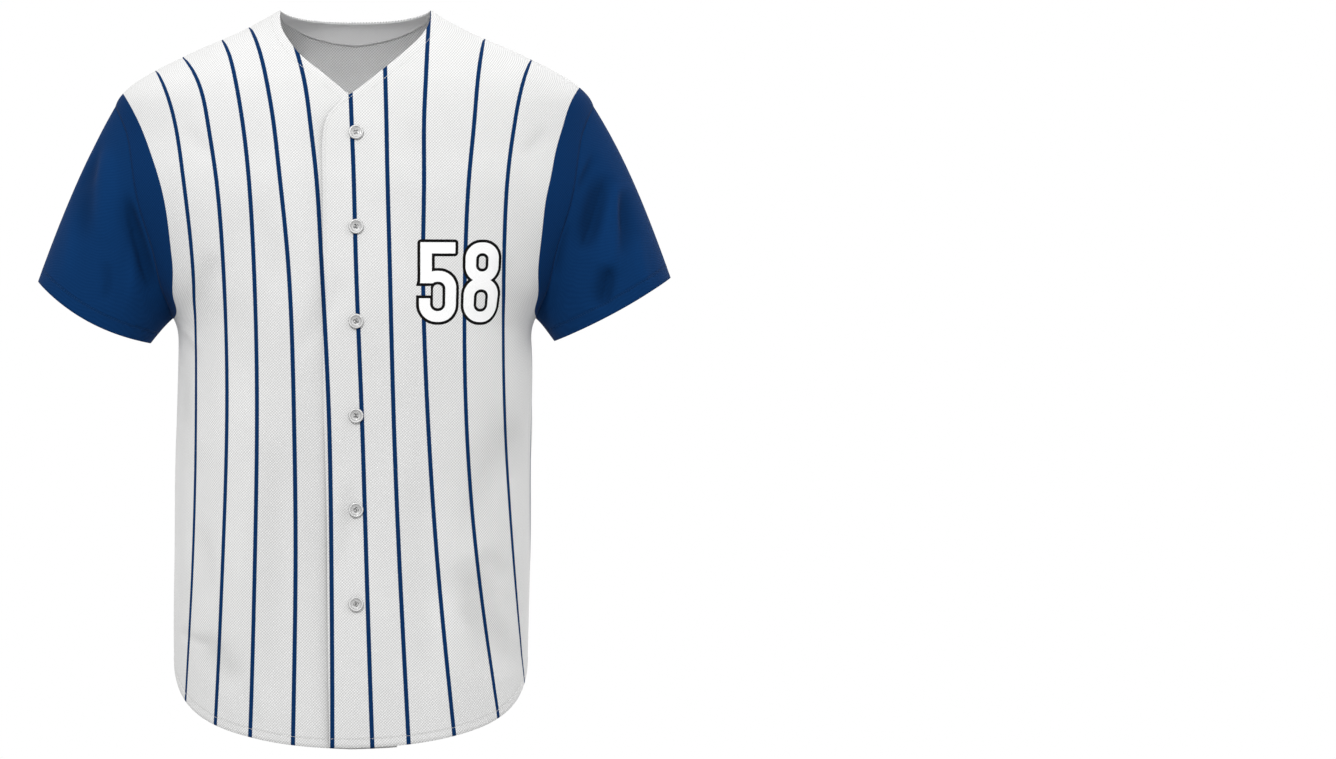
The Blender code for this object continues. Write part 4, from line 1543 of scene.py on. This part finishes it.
def eased(tree, value, low, high, first=0.0, last=1.0):
    """first below low and last above high, with a smooth change between them."""
    node = tree.nodes.new("ShaderNodeMapRange")
    node.interpolation_type = "SMOOTHSTEP"
    names = ("Value", "From Min", "From Max", "To Min", "To Max")
    for name, given in zip(names, (value, low, high, first, last)):
        plug(tree, node.inputs[name], given)
    return node.outputs["Result"]


# A Mix node has sockets for numbers, vectors and colours. These are its sockets for colours
MIX_FACTOR = 0
MIX_FIRST = 6
MIX_SECOND = 7
MIX_RESULT = 2


def mixed(tree, factor, first, second, blend="MIX"):
    node = tree.nodes.new("ShaderNodeMix")
    node.data_type = "RGBA"
    node.blend_type = blend
    plug(tree, node.inputs[MIX_FACTOR], factor)
    plug(tree, node.inputs[MIX_FIRST], first)
    plug(tree, node.inputs[MIX_SECOND], second)
    return node.outputs[MIX_RESULT]


def stored(tree, name, output="Fac"):
    node = tree.nodes.new("ShaderNodeAttribute")
    node.attribute_name = name
    return node.outputs[output]


def new_group(name, inputs, outputs):
    """An empty shader group with named inputs and their defaults, and its two end nodes."""
    tree = bpy.data.node_groups.new(name, "ShaderNodeTree")
    for label, default in inputs:
        kind = "NodeSocketVector" if isinstance(default, tuple) else "NodeSocketFloat"
        socket = tree.interface.new_socket(name=label, in_out="INPUT", socket_type=kind)
        socket.default_value = default
    for label in outputs:
        tree.interface.new_socket(name=label, in_out="OUTPUT", socket_type="NodeSocketFloat")
    print("shader group:", name, "inputs:", len(inputs), "outputs:", len(outputs))
    return tree, tree.nodes.new("NodeGroupInput").outputs, tree.nodes.new("NodeGroupOutput").inputs


def used(tree, group, **values):
    node = tree.nodes.new("ShaderNodeGroup")
    node.node_tree = group
    for label, value in values.items():
        plug(tree, node.inputs[label.replace("_", " ")], value)
    return node.outputs


# %% The knit: small eyelets set on the diagonal
KNIT_BASE = 0.5
RIB_SHARE = 0.3
COURSE_SHARE = 0.2


def knit_group():
    inputs = [("Place", (0, 0, 0)), ("Pitch", 2.1), ("Drift", 1.6), ("Drift size", 14.0)]
    tree, given, result = new_group("eyelet knit", inputs, ["Height"])
    noise = tree.nodes.new("ShaderNodeTexNoise")
    tree.links.new(given["Place"], noise.inputs["Vector"])
    tree.links.new(calculated(tree, "DIVIDE", 1.0, given["Drift size"]), noise.inputs["Scale"])
    drift = tree.nodes.new("ShaderNodeVectorMath")
    drift.operation = "SCALE"
    tree.links.new(noise.outputs["Color"], drift.inputs[0])
    tree.links.new(given["Drift"], drift.inputs["Scale"])
    moved = tree.nodes.new("ShaderNodeVectorMath")
    tree.links.new(given["Place"], moved.inputs[0])
    tree.links.new(drift.outputs["Vector"], moved.inputs[1])
    parts = tree.nodes.new("ShaderNodeSeparateXYZ")
    tree.links.new(moved.outputs["Vector"], parts.inputs[0])
    turns = calculated(tree, "DIVIDE", 2 * math.pi / math.sqrt(2), given["Pitch"])
    rising = calculated(tree, "SUBTRACT", parts.outputs["X"], parts.outputs["Y"])
    falling = calculated(tree, "ADD", parts.outputs["X"], parts.outputs["Y"])
    ribs = calculated(tree, "COSINE", calculated(tree, "MULTIPLY", rising, turns))
    courses = calculated(tree, "COSINE", calculated(tree, "MULTIPLY", falling, turns))
    ribs = calculated(tree, "MULTIPLY_ADD", ribs, RIB_SHARE, KNIT_BASE)
    tree.links.new(calculated(tree, "MULTIPLY_ADD", courses, COURSE_SHARE, ribs), result["Height"])
    return tree


KNIT = knit_group()


# %% Printed stripes of one width
def stripe_group():
    inputs = [("Number", 0.0), ("Spacing", 40.0), ("Width", 4.5), ("Softness", 0.35)]
    tree, given, result = new_group("stripes", inputs, ["Mask"])
    nearest = calculated(tree, "ROUND", given["Number"])
    away = calculated(tree, "ABSOLUTE", calculated(tree, "SUBTRACT", given["Number"], nearest))
    away = calculated(tree, "MULTIPLY", away, given["Spacing"])
    half = calculated(tree, "MULTIPLY", given["Width"], 0.5)
    low = calculated(tree, "SUBTRACT", half, given["Softness"])
    high = calculated(tree, "ADD", half, given["Softness"])
    tree.links.new(eased(tree, away, low, high, 1.0, 0.0), result["Mask"])
    return tree


STRIPES = stripe_group()


# %% The groove that a row of stitches pulls into the cloth
def groove_group():
    inputs = [("Distance", 0.0), ("Row", 8.5), ("Reach", 1.6)]
    tree, given, result = new_group("sewn groove", inputs, ["Depth"])
    away = calculated(tree, "ABSOLUTE", calculated(tree, "SUBTRACT", given["Distance"], given["Row"]))
    tree.links.new(eased(tree, away, 0.0, given["Reach"], 1.0, 0.0), result["Depth"])
    return tree


GROOVE = groove_group()


# %% The painted shade that an edge leaves on the cloth beside it
def shadow_group():
    inputs = [("Away", 0.0), ("Soft", 0.1), ("Core", 0.1), ("Soft width", 5.5), ("Core width", 2.0)]
    tree, given, result = new_group("shade beside an edge", inputs, ["Depth"])
    away = calculated(tree, "MAXIMUM", given["Away"], 0.0)
    shades = []
    for part in ("Soft", "Core"):
        share = calculated(tree, "DIVIDE", away, given[part + " width"])
        faded = calculated(tree, "EXPONENT", calculated(tree, "MULTIPLY", share, -1.0))
        shades.append(calculated(tree, "MULTIPLY", faded, given[part]))
    tree.links.new(calculated(tree, "ADD", *shades), result["Depth"])
    return tree


EDGE_SHADOW = shadow_group()


# %% A block with rounded corners, as a distance
def block_group():
    inputs = [
        ("X", 0.0),
        ("Y", 0.0),
        ("Centre X", 0.0),
        ("Centre Y", 0.0),
        ("Half width", 0.1),
        ("Half height", 0.1),
        ("Corner", 0.02),
    ]
    tree, given, result = new_group("rounded block", inputs, ["Distance"])
    beyond = []
    for axis, half in (("X", "Half width"), ("Y", "Half height")):
        away = calculated(tree, "SUBTRACT", given[axis], given["Centre " + axis])
        away = calculated(tree, "ABSOLUTE", away)
        straight = calculated(tree, "SUBTRACT", given[half], given["Corner"])
        beyond.append(calculated(tree, "SUBTRACT", away, straight))
    squares = [calculated(tree, "POWER", calculated(tree, "MAXIMUM", side, 0.0), 2.0) for side in beyond]
    outside = calculated(tree, "SQRT", calculated(tree, "ADD", *squares))
    within = calculated(tree, "MINIMUM", calculated(tree, "MAXIMUM", *beyond), 0.0)
    distance = calculated(tree, "SUBTRACT", calculated(tree, "ADD", outside, within), given["Corner"])
    tree.links.new(distance, result["Distance"])
    return tree


BLOCK = block_group()

# %% [markdown]
# ## The player's number
# A plain two-figure number is printed on the chest and, twice as tall, on the back. Each figure is
# drawn from rounded blocks that are joined and cut out of one another, in parts of the figure's
# height, so the print is sharp at any size and lies flush in the cloth.

# %% The two figures
DIGIT_SPACING = 0.56
FIGURE_SOFTNESS = 0.2
# Blocks: centre across and up, half width, half height, corner radius
EIGHT_JOINED = ((0.0, 0.25, 0.215, 0.25, 0.2), (0.0, -0.225, 0.23, 0.275, 0.215))
EIGHT_CUT = ((0.0, 0.25, 0.08, 0.115, 0.075), (0.0, -0.23, 0.095, 0.14, 0.09))
FIVE_JOINED = (
    (0.01, 0.43, 0.205, 0.07, 0.008),
    (-0.145, 0.235, 0.07, 0.265, 0.008),
    (0.0, -0.18, 0.23, 0.32, 0.215),
)
FIVE_CUT = ((0.0, -0.18, 0.095, 0.185, 0.09), (-0.2, -0.11, 0.15, 0.095, 0.008))


def blocks(tree, x, y, rows):
    """The distance to several blocks that are joined into one shape."""
    joined_distance = None
    for centre_x, centre_y, half_width, half_height, corner in rows:
        distance = used(
            tree,
            BLOCK,
            X=x,
            Y=y,
            Centre_X=centre_x,
            Centre_Y=centre_y,
            Half_width=half_width,
            Half_height=half_height,
            Corner=corner,
        )["Distance"]
        if joined_distance is None:
            joined_distance = distance
        else:
            joined_distance = calculated(tree, "MINIMUM", joined_distance, distance)
    return joined_distance


def figure(tree, x, y, joined_rows, cut_rows):
    shape = blocks(tree, x, y, joined_rows)
    holes = calculated(tree, "MULTIPLY", blocks(tree, x, y, cut_rows), -1.0)
    return calculated(tree, "MAXIMUM", shape, holes)


def number_group():
    inputs = [("X", 0.0), ("Y", 0.0), ("Figure height", 88.0), ("Outline", 1.9)]
    tree, given, result = new_group("player number", inputs, ["Fill", "Outline"])
    x = calculated(tree, "DIVIDE", given["X"], given["Figure height"])
    y = calculated(tree, "DIVIDE", given["Y"], given["Figure height"])
    left = calculated(tree, "ADD", x, DIGIT_SPACING / 2)
    right = calculated(tree, "SUBTRACT", x, DIGIT_SPACING / 2)
    five = figure(tree, left, y, FIVE_JOINED, FIVE_CUT)
    eight = figure(tree, right, y, EIGHT_JOINED, EIGHT_CUT)
    nearest = calculated(tree, "MINIMUM", five, eight)
    distance = calculated(tree, "MULTIPLY", nearest, given["Figure height"])
    beyond = calculated(tree, "SUBTRACT", distance, given["Outline"])
    for name, value in (("Fill", distance), ("Outline", beyond)):
        mask = eased(tree, value, -FIGURE_SOFTNESS, FIGURE_SOFTNESS, 1.0, 0.0)
        tree.links.new(mask, result[name])
    return tree


NUMBER = number_group()

# %% [markdown]
# ## Cloth
# The jersey is a double-knit polyester with small eyelets set on the diagonal: matt, a little soft
# at grazing angles, and white where nothing is printed. The eyelets, the grooves along the seams
# and a slight unevenness of the cloth are bumps, because they are shallower than the cloth's own
# thickness. The shader's roughness varies with the knit, and the fixed values are set on it.
# The eyelets, the sewn grooves and the troughs of the folds are also painted darker, as painted shade,
# and the ridges of the folds lighter, as a painted highlight.

# %% Cloth colours and finish
WHITE = (0.92, 0.92, 0.915, 1.0)
DARK_BLUE = (0.0033, 0.036, 0.135, 1.0)
SLEEVE_BLUE = (0.003, 0.033, 0.122, 1.0)
REVERSE = (1.0, 1.0, 1.0, 1.0)
FACING_WHITE = (1.0, 1.0, 1.0, 1.0)
PRINT_WHITE = (1.0, 1.0, 1.0, 1.0)
PRINT_BLACK = (0.006, 0.006, 0.006, 1.0)
# How much darker the eyelets are painted, as painted shade, on each cloth
KNIT_SHADE = 0.41
BLUE_KNIT_SHADE = 0.14
FACING_KNIT_SHADE = 0.04
KNIT_DEPTH = 0.13
INK_COVER = 0.92
GROOVE_DEPTH = 0.35
# Sewn grooves are also painted darker by this share, as painted shade
GROOVE_SHADE = 0.12
# Shares of painted shade in the troughs of folds, on the white and on the blue cloth
WHITE_PAINTED_FOLD_DARKENING = 0.07
BLUE_PAINTED_FOLD_DARKENING = 0.26
UNEVENNESS = 0.35
CLOTH_ROUGHNESS = 0.85
CLOTH_SHINE = 0.05
CLOTH_SHEEN = 0.02
SHEEN_ROUGHNESS = 0.4
EYELET_ROUGHNESS = 0.95
RIPPLE_SIZE = 34.0
WEAR_SIZE = 60.0
WEAR_SHADE = 0.975
NOISE_LOW = 0.3
NOISE_HIGH = 0.7
PRINT_SOFTNESS = 0.3
print("roughness, cloth and eyelets:", CLOTH_ROUGHNESS, EYELET_ROUGHNESS)


# %% Start a material
def uneven(tree, place, size):
    """Soft noise over the cloth, with features of about this size in millimetres."""
    noise = tree.nodes.new("ShaderNodeTexNoise")
    noise.inputs["Scale"].default_value = 1 / size
    noise.inputs["Detail"].default_value = 2.0
    tree.links.new(place, noise.inputs["Vector"])
    return noise.outputs["Fac"]


def start_material(name, roughness, shine=0.5, sheen=0.0):
    print("material:", name)
    material = bpy.data.materials.new(name)
    material.use_nodes = True
    tree = material.node_tree
    shader = tree.nodes["Principled BSDF"]
    shader.inputs["Roughness"].default_value = roughness
    shader.inputs["Specular IOR Level"].default_value = shine
    shader.inputs["Sheen Weight"].default_value = sheen
    shader.inputs["Sheen Roughness"].default_value = SHEEN_ROUGHNESS
    return material, tree, shader


# %% The knit's finish
def knit_finish(
    tree,
    shader,
    colour,
    place,
    grooves,
    painted_fold_darkening,
    knit_shade,
    cover=0.0,
    shadow=0.0,
):
    """Shades a colour by the knit and gives the cloth its bumps and its roughness. Grooves are
    masks with a strength. The grooves, the troughs of folds and the eyelets are painted darker by
    their shares as painted shade, and the ridges of folds a little lighter as a painted highlight.
    Cover is where thick ink fills the knit, and shadow is a painted shadow of an edge that lies on
    the cloth."""
    height = used(tree, KNIT, Place=place)["Height"]
    # The eyelets are painted darker: painted shade
    shade = calculated(tree, "MULTIPLY_ADD", height, knit_shade, 1 - knit_shade)
    wear = eased(tree, uneven(tree, place, WEAR_SIZE), NOISE_LOW, NOISE_HIGH, WEAR_SHADE, 1.0)
    shade = calculated(tree, "MULTIPLY", shade, wear)
    filled = calculated(tree, "MULTIPLY", calculated(tree, "SUBTRACT", 1.0, shade), cover)
    shade = calculated(tree, "MULTIPLY_ADD", filled, INK_COVER, shade)
    # Painted shade in the troughs of folds, and a painted highlight on their ridges
    darker = calculated(tree, "MULTIPLY_ADD", stored(tree, "painted_fold_shade"), -painted_fold_darkening, 1.0)
    shade = calculated(tree, "MULTIPLY", shade, darker)
    # Painted shadow beside the edge of the top layer
    shade = calculated(tree, "MULTIPLY", shade, calculated(tree, "SUBTRACT", 1.0, shadow))
    # The sewn grooves are painted darker: painted shade
    for groove, strength in grooves:
        darker = calculated(tree, "MULTIPLY_ADD", groove, -GROOVE_SHADE * strength, 1.0)
        shade = calculated(tree, "MULTIPLY", shade, darker)
    tint = tree.nodes.new("ShaderNodeCombineColor")
    for channel in ("Red", "Green", "Blue"):
        tree.links.new(shade, tint.inputs[channel])
    shaded = mixed(tree, 1.0, colour, tint.outputs["Color"], "MULTIPLY")
    tree.links.new(shaded, shader.inputs["Base Color"])
    roughness = eased(tree, height, 0.0, 1.0, EYELET_ROUGHNESS, CLOTH_ROUGHNESS)
    tree.links.new(roughness, shader.inputs["Roughness"])
    relief = calculated(tree, "MULTIPLY", height, KNIT_DEPTH)
    relief = calculated(tree, "MULTIPLY_ADD", uneven(tree, place, RIPPLE_SIZE), UNEVENNESS, relief)
    for groove, strength in grooves:
        relief = calculated(tree, "MULTIPLY_ADD", groove, -GROOVE_DEPTH * strength, relief)
    bump = tree.nodes.new("ShaderNodeBump")
    bump.inputs["Distance"].default_value = MM
    tree.links.new(relief, bump.inputs["Height"])
    tree.links.new(bump.outputs["Normal"], shader.inputs["Normal"])


# %% Print a number and mark the sewn rows
def printed(tree, colour, place, number):
    """Prints the player's number over a colour. The second result is where its ink lies."""
    parts = tree.nodes.new("ShaderNodeSeparateXYZ")
    tree.links.new(place, parts.inputs[0])
    across = calculated(tree, "SUBTRACT", parts.outputs["X"], number["middle"])
    across = calculated(tree, "MULTIPLY", across, number["way"] / number["stretch"])
    upward = calculated(tree, "ADD", parts.outputs["Y"], number["drop"])
    sizes = {"Figure_height": number["height"], "Outline": number["outline"]}
    masks = used(tree, NUMBER, X=across, Y=upward, **sizes)
    colour = mixed(tree, masks["Outline"], colour, PRINT_BLACK)
    return mixed(tree, masks["Fill"], colour, PRINT_WHITE), masks["Outline"]


def sewn_grooves(tree, rows):
    """Masks of the grooves along rows of stitches, each with its strength."""
    grooves = []
    for edge, row, reach, strength in rows:
        distance = stored(tree, edge + "_distance")
        mask = used(tree, GROOVE, Distance=distance, Row=row, Reach=reach)["Depth"]
        grooves.append((mask, strength))
    return grooves


PANEL_ROWS = (
    ("hem", HEM_LINE_DISTANCE, 1.8, 0.6),
    ("neck", NECK_LINE_DISTANCE, 1.6, 0.2),
    ("placket", EDGE_LINE_DISTANCE, 1.3, 0.45),
    ("armhole", 0.0, 3.0, 0.8),
)
SLEEVE_ROWS = (
    ("hem", SLEEVE_LINE_DISTANCES[0], 1.2, 0.8),
    ("hem", SLEEVE_LINE_DISTANCES[1], 1.2, 0.8),
    ("armhole", 0.0, 3.0, 0.8),
)
FACING_ROWS = (("hem", FACING_LINE_DISTANCE, 1.5, 0.15),)


# %% The striped and the plain cloth
def striped_cloth(name, number=None):
    material, tree, shader = start_material(name, CLOTH_ROUGHNESS, CLOTH_SHINE, CLOTH_SHEEN)
    place = stored(tree, "weave", "Vector")
    number_here = stored(tree, "stripe")
    stripes = used(tree, STRIPES, Number=number_here, Spacing=stored(tree, "stripe_gap"))["Mask"]
    colour = mixed(tree, stripes, WHITE, DARK_BLUE)
    in_print = eased(tree, stored(tree, "print_depth"), -PRINT_SOFTNESS, PRINT_SOFTNESS)
    colour = mixed(tree, in_print, colour, DARK_BLUE)
    ink = 0.0
    if number:
        colour, ink = printed(tree, colour, place, number)
    colour = mixed(tree, stored(tree, "inside"), colour, REVERSE)
    grooves = sewn_grooves(tree, PANEL_ROWS)
    beside = {part.title(): stored(tree, "edge_" + part) for part in ("away", "soft", "core")}
    shadow = used(tree, EDGE_SHADOW, **beside)["Depth"]
    knit_finish(tree, shader, colour, place, grooves, WHITE_PAINTED_FOLD_DARKENING, KNIT_SHADE, ink, shadow)
    return material


def plain_cloth(name, colour, rows, painted_fold_darkening, knit_shade):
    material, tree, shader = start_material(name, CLOTH_ROUGHNESS, CLOTH_SHINE, CLOTH_SHEEN)
    place = stored(tree, "weave", "Vector")
    knit_finish(tree, shader, colour, place, sewn_grooves(tree, rows), painted_fold_darkening, knit_shade)
    return material


# %% Materials of the cloth
# Where each number lies on the cloth, which way it runs, and its sizes
FRONT_NUMBER = {
    "middle": 109.5,
    "drop": 283.2,
    "way": 1.0,
    "height": 81.1,
    "outline": 3.0,
    "stretch": 1.05,
}
BACK_NUMBER = {
    "middle": -4.0,
    "drop": 301.0,
    "way": -1.0,
    "height": 187.0,
    "outline": 4.6,
    "stretch": 1.0,
}
CLOTHS = {
    "front_left": striped_cloth("striped knit with chest number", FRONT_NUMBER),
    "front_right": striped_cloth("striped knit"),
    "back": striped_cloth("striped knit with back number", BACK_NUMBER),
    "sleeve_left": plain_cloth("dark blue knit", SLEEVE_BLUE, SLEEVE_ROWS, BLUE_PAINTED_FOLD_DARKENING, BLUE_KNIT_SHADE),
    "neck_facing": plain_cloth("facing knit", FACING_WHITE, FACING_ROWS, 0.0, FACING_KNIT_SHADE),
}
CLOTHS["sleeve_right"] = CLOTHS["sleeve_left"]
for name, material in CLOTHS.items():
    pieces[name].data.materials.append(material)
print("cloth materials:", sorted({material.name for material in CLOTHS.values()}))

# %% [markdown]
# ## Thread and buttons
# Sewing thread is a soft polyester, white on the body and dark on the sleeves. The buttons are
# moulded resin with a faint pearly cloud in it, and they are much glossier than the cloth.

# %% Material of the thread
THREAD_ROUGHNESS = 0.6
THREAD_SHINE = 0.15
TWIST_SCALE = 2600.0
TWIST_SHADE = 0.82
TWIST_ROUGHNESS = (0.5, 0.65)


def thread_material(name, colour):
    material, tree, shader = start_material(name, THREAD_ROUGHNESS, THREAD_SHINE)
    place = tree.nodes.new("ShaderNodeTexCoord").outputs["Object"]
    twist = tree.nodes.new("ShaderNodeTexNoise")
    twist.inputs["Scale"].default_value = TWIST_SCALE
    tree.links.new(place, twist.inputs["Vector"])
    shade = tuple(channel * TWIST_SHADE for channel in colour[:3]) + (1.0,)
    tree.links.new(mixed(tree, twist.outputs["Fac"], colour, shade), shader.inputs["Base Color"])
    roughness = eased(tree, twist.outputs["Fac"], NOISE_LOW, NOISE_HIGH, *TWIST_ROUGHNESS)
    tree.links.new(roughness, shader.inputs["Roughness"])
    return material


WHITE_THREAD = thread_material("white sewing thread", (0.84, 0.84, 0.83, 1.0))
BLUE_THREAD = thread_material("dark blue sewing thread", (0.006, 0.045, 0.15, 1.0))
PALE_THREAD = thread_material("pale sewing thread", (0.93, 0.93, 0.93, 1.0))

# %% Material of the buttons
RESIN_PALE = (0.80, 0.80, 0.795, 1.0)
RESIN_CLOUD = (0.73, 0.73, 0.725, 1.0)
# The colour that the painted shade of the buttons mixes towards
RESIN_PAINTED_SHADE_COLOUR = (0.20, 0.20, 0.20, 1.0)
RESIN_SHADE = 0.36
RESIN_COAT = 0.3
RESIN_COAT_ROUGHNESS = 0.15
RESIN_DEPTH = 0.1
RESIN_MIDDLE_ROUGHNESS = 0.25
RESIN_ROUGHNESS = (0.22, 0.34)
CLOUD_SCALE = 170.0
CLOUD_DETAIL = 3.0
CLOUD_LOW = 0.35
CLOUD_HIGH = 0.65


def button_material():
    material, tree, shader = start_material("pearly resin", RESIN_MIDDLE_ROUGHNESS)
    shader.inputs["Coat Weight"].default_value = RESIN_COAT
    shader.inputs["Coat Roughness"].default_value = RESIN_COAT_ROUGHNESS
    shader.inputs["Subsurface Weight"].default_value = RESIN_DEPTH
    shader.inputs["Subsurface Radius"].default_value = (MM, MM, MM)
    place = tree.nodes.new("ShaderNodeTexCoord").outputs["Object"]
    cloud = tree.nodes.new("ShaderNodeTexNoise")
    cloud.inputs["Scale"].default_value = CLOUD_SCALE
    cloud.inputs["Detail"].default_value = CLOUD_DETAIL
    tree.links.new(place, cloud.inputs["Vector"])
    clouded = eased(tree, cloud.outputs["Fac"], CLOUD_LOW, CLOUD_HIGH)
    resin = mixed(tree, clouded, RESIN_PALE, RESIN_CLOUD)
    # Painted shade: the groove, the dish, the outer edge and the holes are mixed towards a dark colour
    shaded = calculated(tree, "MULTIPLY", stored(tree, "button_shade"), RESIN_SHADE)
    shaded = calculated(tree, "MINIMUM", shaded, 1.0)
    tree.links.new(mixed(tree, shaded, resin, RESIN_PAINTED_SHADE_COLOUR), shader.inputs["Base Color"])
    roughness = eased(tree, cloud.outputs["Fac"], NOISE_LOW, NOISE_HIGH, *RESIN_ROUGHNESS)
    tree.links.new(roughness, shader.inputs["Roughness"])
    return material


RESIN = button_material()
for number in threads:
    pieces["button_" + str(number)].data.materials.clear()
    pieces["button_" + str(number)].data.materials.append(RESIN)
    threads[number].data.materials.append(WHITE_THREAD)

# %% Sew the rows
THREAD_OF = {"sleeve_left": BLUE_THREAD, "sleeve_right": BLUE_THREAD, "neck_facing": PALE_THREAD}
stitches = {}
for name, lines in STITCH_ROWS.items():
    stitches[name] = stitched(name + "_stitches", lines, THREAD_OF.get(name, WHITE_THREAD))
    print(name, "stitch faces:", len(stitches[name].data.polygons))

# %% [markdown]
# ## Floor and light
# A pale floor lies as far down as the floor of a standing wearer, and fades out with distance. The
# light is a studio's: an even pale surround that is brightest behind the jersey, so that the
# background stays white, and a soft lamp above and to the left of the front, which models the
# folds. Two weaker lamps light the other side and the edges from behind.

# %% Floor
FLOOR_DROP = 1450.0
FLOOR_RADIUS = 2.2
FLOOR_FADE_START = 0.45
FLOOR_SIDES = 96
FLOOR_ROUGHNESS = 0.9
FLOOR_COLOUR = (0.82, 0.82, 0.82, 1)


def add_floor():
    mesh = bpy.data.meshes.new("floor")
    shape = bmesh.new()
    bmesh.ops.create_circle(shape, cap_ends=True, segments=FLOOR_SIDES, radius=FLOOR_RADIUS)
    shape.to_mesh(mesh)
    shape.free()
    mesh.transform(Matrix.Translation((0, 0, -FLOOR_DROP * MM)))
    floor = bpy.data.objects.new("floor", mesh)
    bpy.context.scene.collection.objects.link(floor)
    material, tree, shader = start_material("pale floor", FLOOR_ROUGHNESS)
    shader.inputs["Base Color"].default_value = FLOOR_COLOUR
    place = tree.nodes.new("ShaderNodeTexCoord").outputs["Object"]
    flat = tree.nodes.new("ShaderNodeVectorMath")
    flat.operation = "MULTIPLY"
    flat.inputs[1].default_value = (1, 1, 0)
    tree.links.new(place, flat.inputs[0])
    reach = tree.nodes.new("ShaderNodeVectorMath")
    reach.operation = "LENGTH"
    tree.links.new(flat.outputs["Vector"], reach.inputs[0])
    fade = eased(tree, reach.outputs["Value"], FLOOR_FADE_START, FLOOR_RADIUS, 1.0, 0.0)
    tree.links.new(fade, shader.inputs["Alpha"])
    mesh.materials.append(material)
    return floor


add_floor()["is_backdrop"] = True


# %% The surround
# Strength in front and behind, the change from below to above in front, and an even lift there
FRONT_STRENGTH = 0.56
BACK_STRENGTH = 1.0
STRENGTH_REACH = (-0.5, 0.3)
FRONT_REACH = (-0.3, 0.2)
BELOW_CHANGE = -0.40
ABOVE_CHANGE = 0.22
FRONT_LIFT = 0.02
HEIGHT_REACH = 0.8


def add_surround():
    world = bpy.data.worlds.new("studio surround")
    bpy.context.scene.world = world
    world.use_nodes = True
    tree = world.node_tree
    background = tree.nodes["Background"]
    parts = tree.nodes.new("ShaderNodeSeparateXYZ")
    tree.links.new(tree.nodes.new("ShaderNodeTexCoord").outputs["Generated"], parts.inputs[0])
    height = parts.outputs["Z"]
    backward = parts.outputs["Y"]
    behind = eased(tree, backward, *STRENGTH_REACH, FRONT_STRENGTH, BACK_STRENGTH)
    above = eased(tree, height, -HEIGHT_REACH, HEIGHT_REACH, BELOW_CHANGE, ABOVE_CHANGE)
    in_front = eased(tree, backward, *FRONT_REACH, 1.0, 0.0)
    tilt = calculated(tree, "MULTIPLY", calculated(tree, "ADD", above, FRONT_LIFT), in_front)
    tree.links.new(calculated(tree, "ADD", behind, tilt), background.inputs["Strength"])
    background.inputs["Color"].default_value = (1.0, 1.0, 1.0, 1.0)


add_surround()
print("strength of the surround, front and behind:", FRONT_STRENGTH, BACK_STRENGTH)

# %% The lamps
# Each lamp's place, what it is aimed at, its size, power and spread. A honeycomb on the key lamp
# narrows its beam, so the light fades towards the hem
LAMPS = {
    "key": ((-0.75, -3.0, 1.75), (0, 0, -0.43), 0.8, 4.7, 46),
    "side": ((2.6, -1.7, 1.3), (0.1, 0, -0.2), 1.4, 12, 180),
    "rim": ((2.4, 2.2, 1.2), (0, 0, -0.4), 1.8, 18, 180),
}


def add_lamp(name, place, target, size, power, spread):
    data = bpy.data.lights.new(name, "AREA")
    data.spread = math.radians(spread)
    data.shape = "DISK"
    data.size = size
    data.energy = power
    lamp = bpy.data.objects.new(name, data)
    lamp.location = place
    lamp.rotation_euler = (Vector(target) - Vector(place)).to_track_quat("-Z", "Y").to_euler()
    bpy.context.scene.collection.objects.link(lamp)


for name, lamp_values in LAMPS.items():
    add_lamp(name, *lamp_values)
bpy.context.scene.view_settings.view_transform = "Standard"

# %% [markdown]
# ## The pieces take the solids' places
# Each piece takes the place of a solid of the model and rides with the garment's one rigid body.
# A table lists the width, length and area of each cloth cut, and the area of cloth that each
# piece shows is printed.

# %% Ride and replace
CUTS = {
    "front_left": (0.34, 0.80, 0.204),
    "front_right": (0.35, 0.80, 0.214),
    "back": (0.60, 0.80, 0.376),
    "sleeve_left": (0.44, 0.24, 0.0512),
    "sleeve_right": (0.44, 0.24, 0.0539),
    "neck_facing": (0.215, 0.033, 0.0043),
}


def half_surface(obj):
    return sum(face.area for face in obj.data.polygons) / 2


for name, piece in pieces.items():
    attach(piece, "root")
    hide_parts(name)
for name, piece in stitches.items():
    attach(piece, "root")
for number, piece in threads.items():
    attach(piece, "root")
for name, (width, length, area) in CUTS.items():
    extras = [stitches[name]]
    if name == "front_left":
        extras += [pieces["button_" + str(number)] for number in threads] + list(threads.values())
    print(name, "cloth that shows, square metres:", round(half_surface(pieces[name]), 4))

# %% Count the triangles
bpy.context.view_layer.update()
meshes = [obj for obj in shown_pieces() if obj.type == "MESH"]
triangles = {obj.name: sum(len(face.vertices) - 2 for face in obj.data.polygons) for obj in meshes}
print("triangles:", sum(triangles.values()), "most in one piece:", max(triangles.values()))
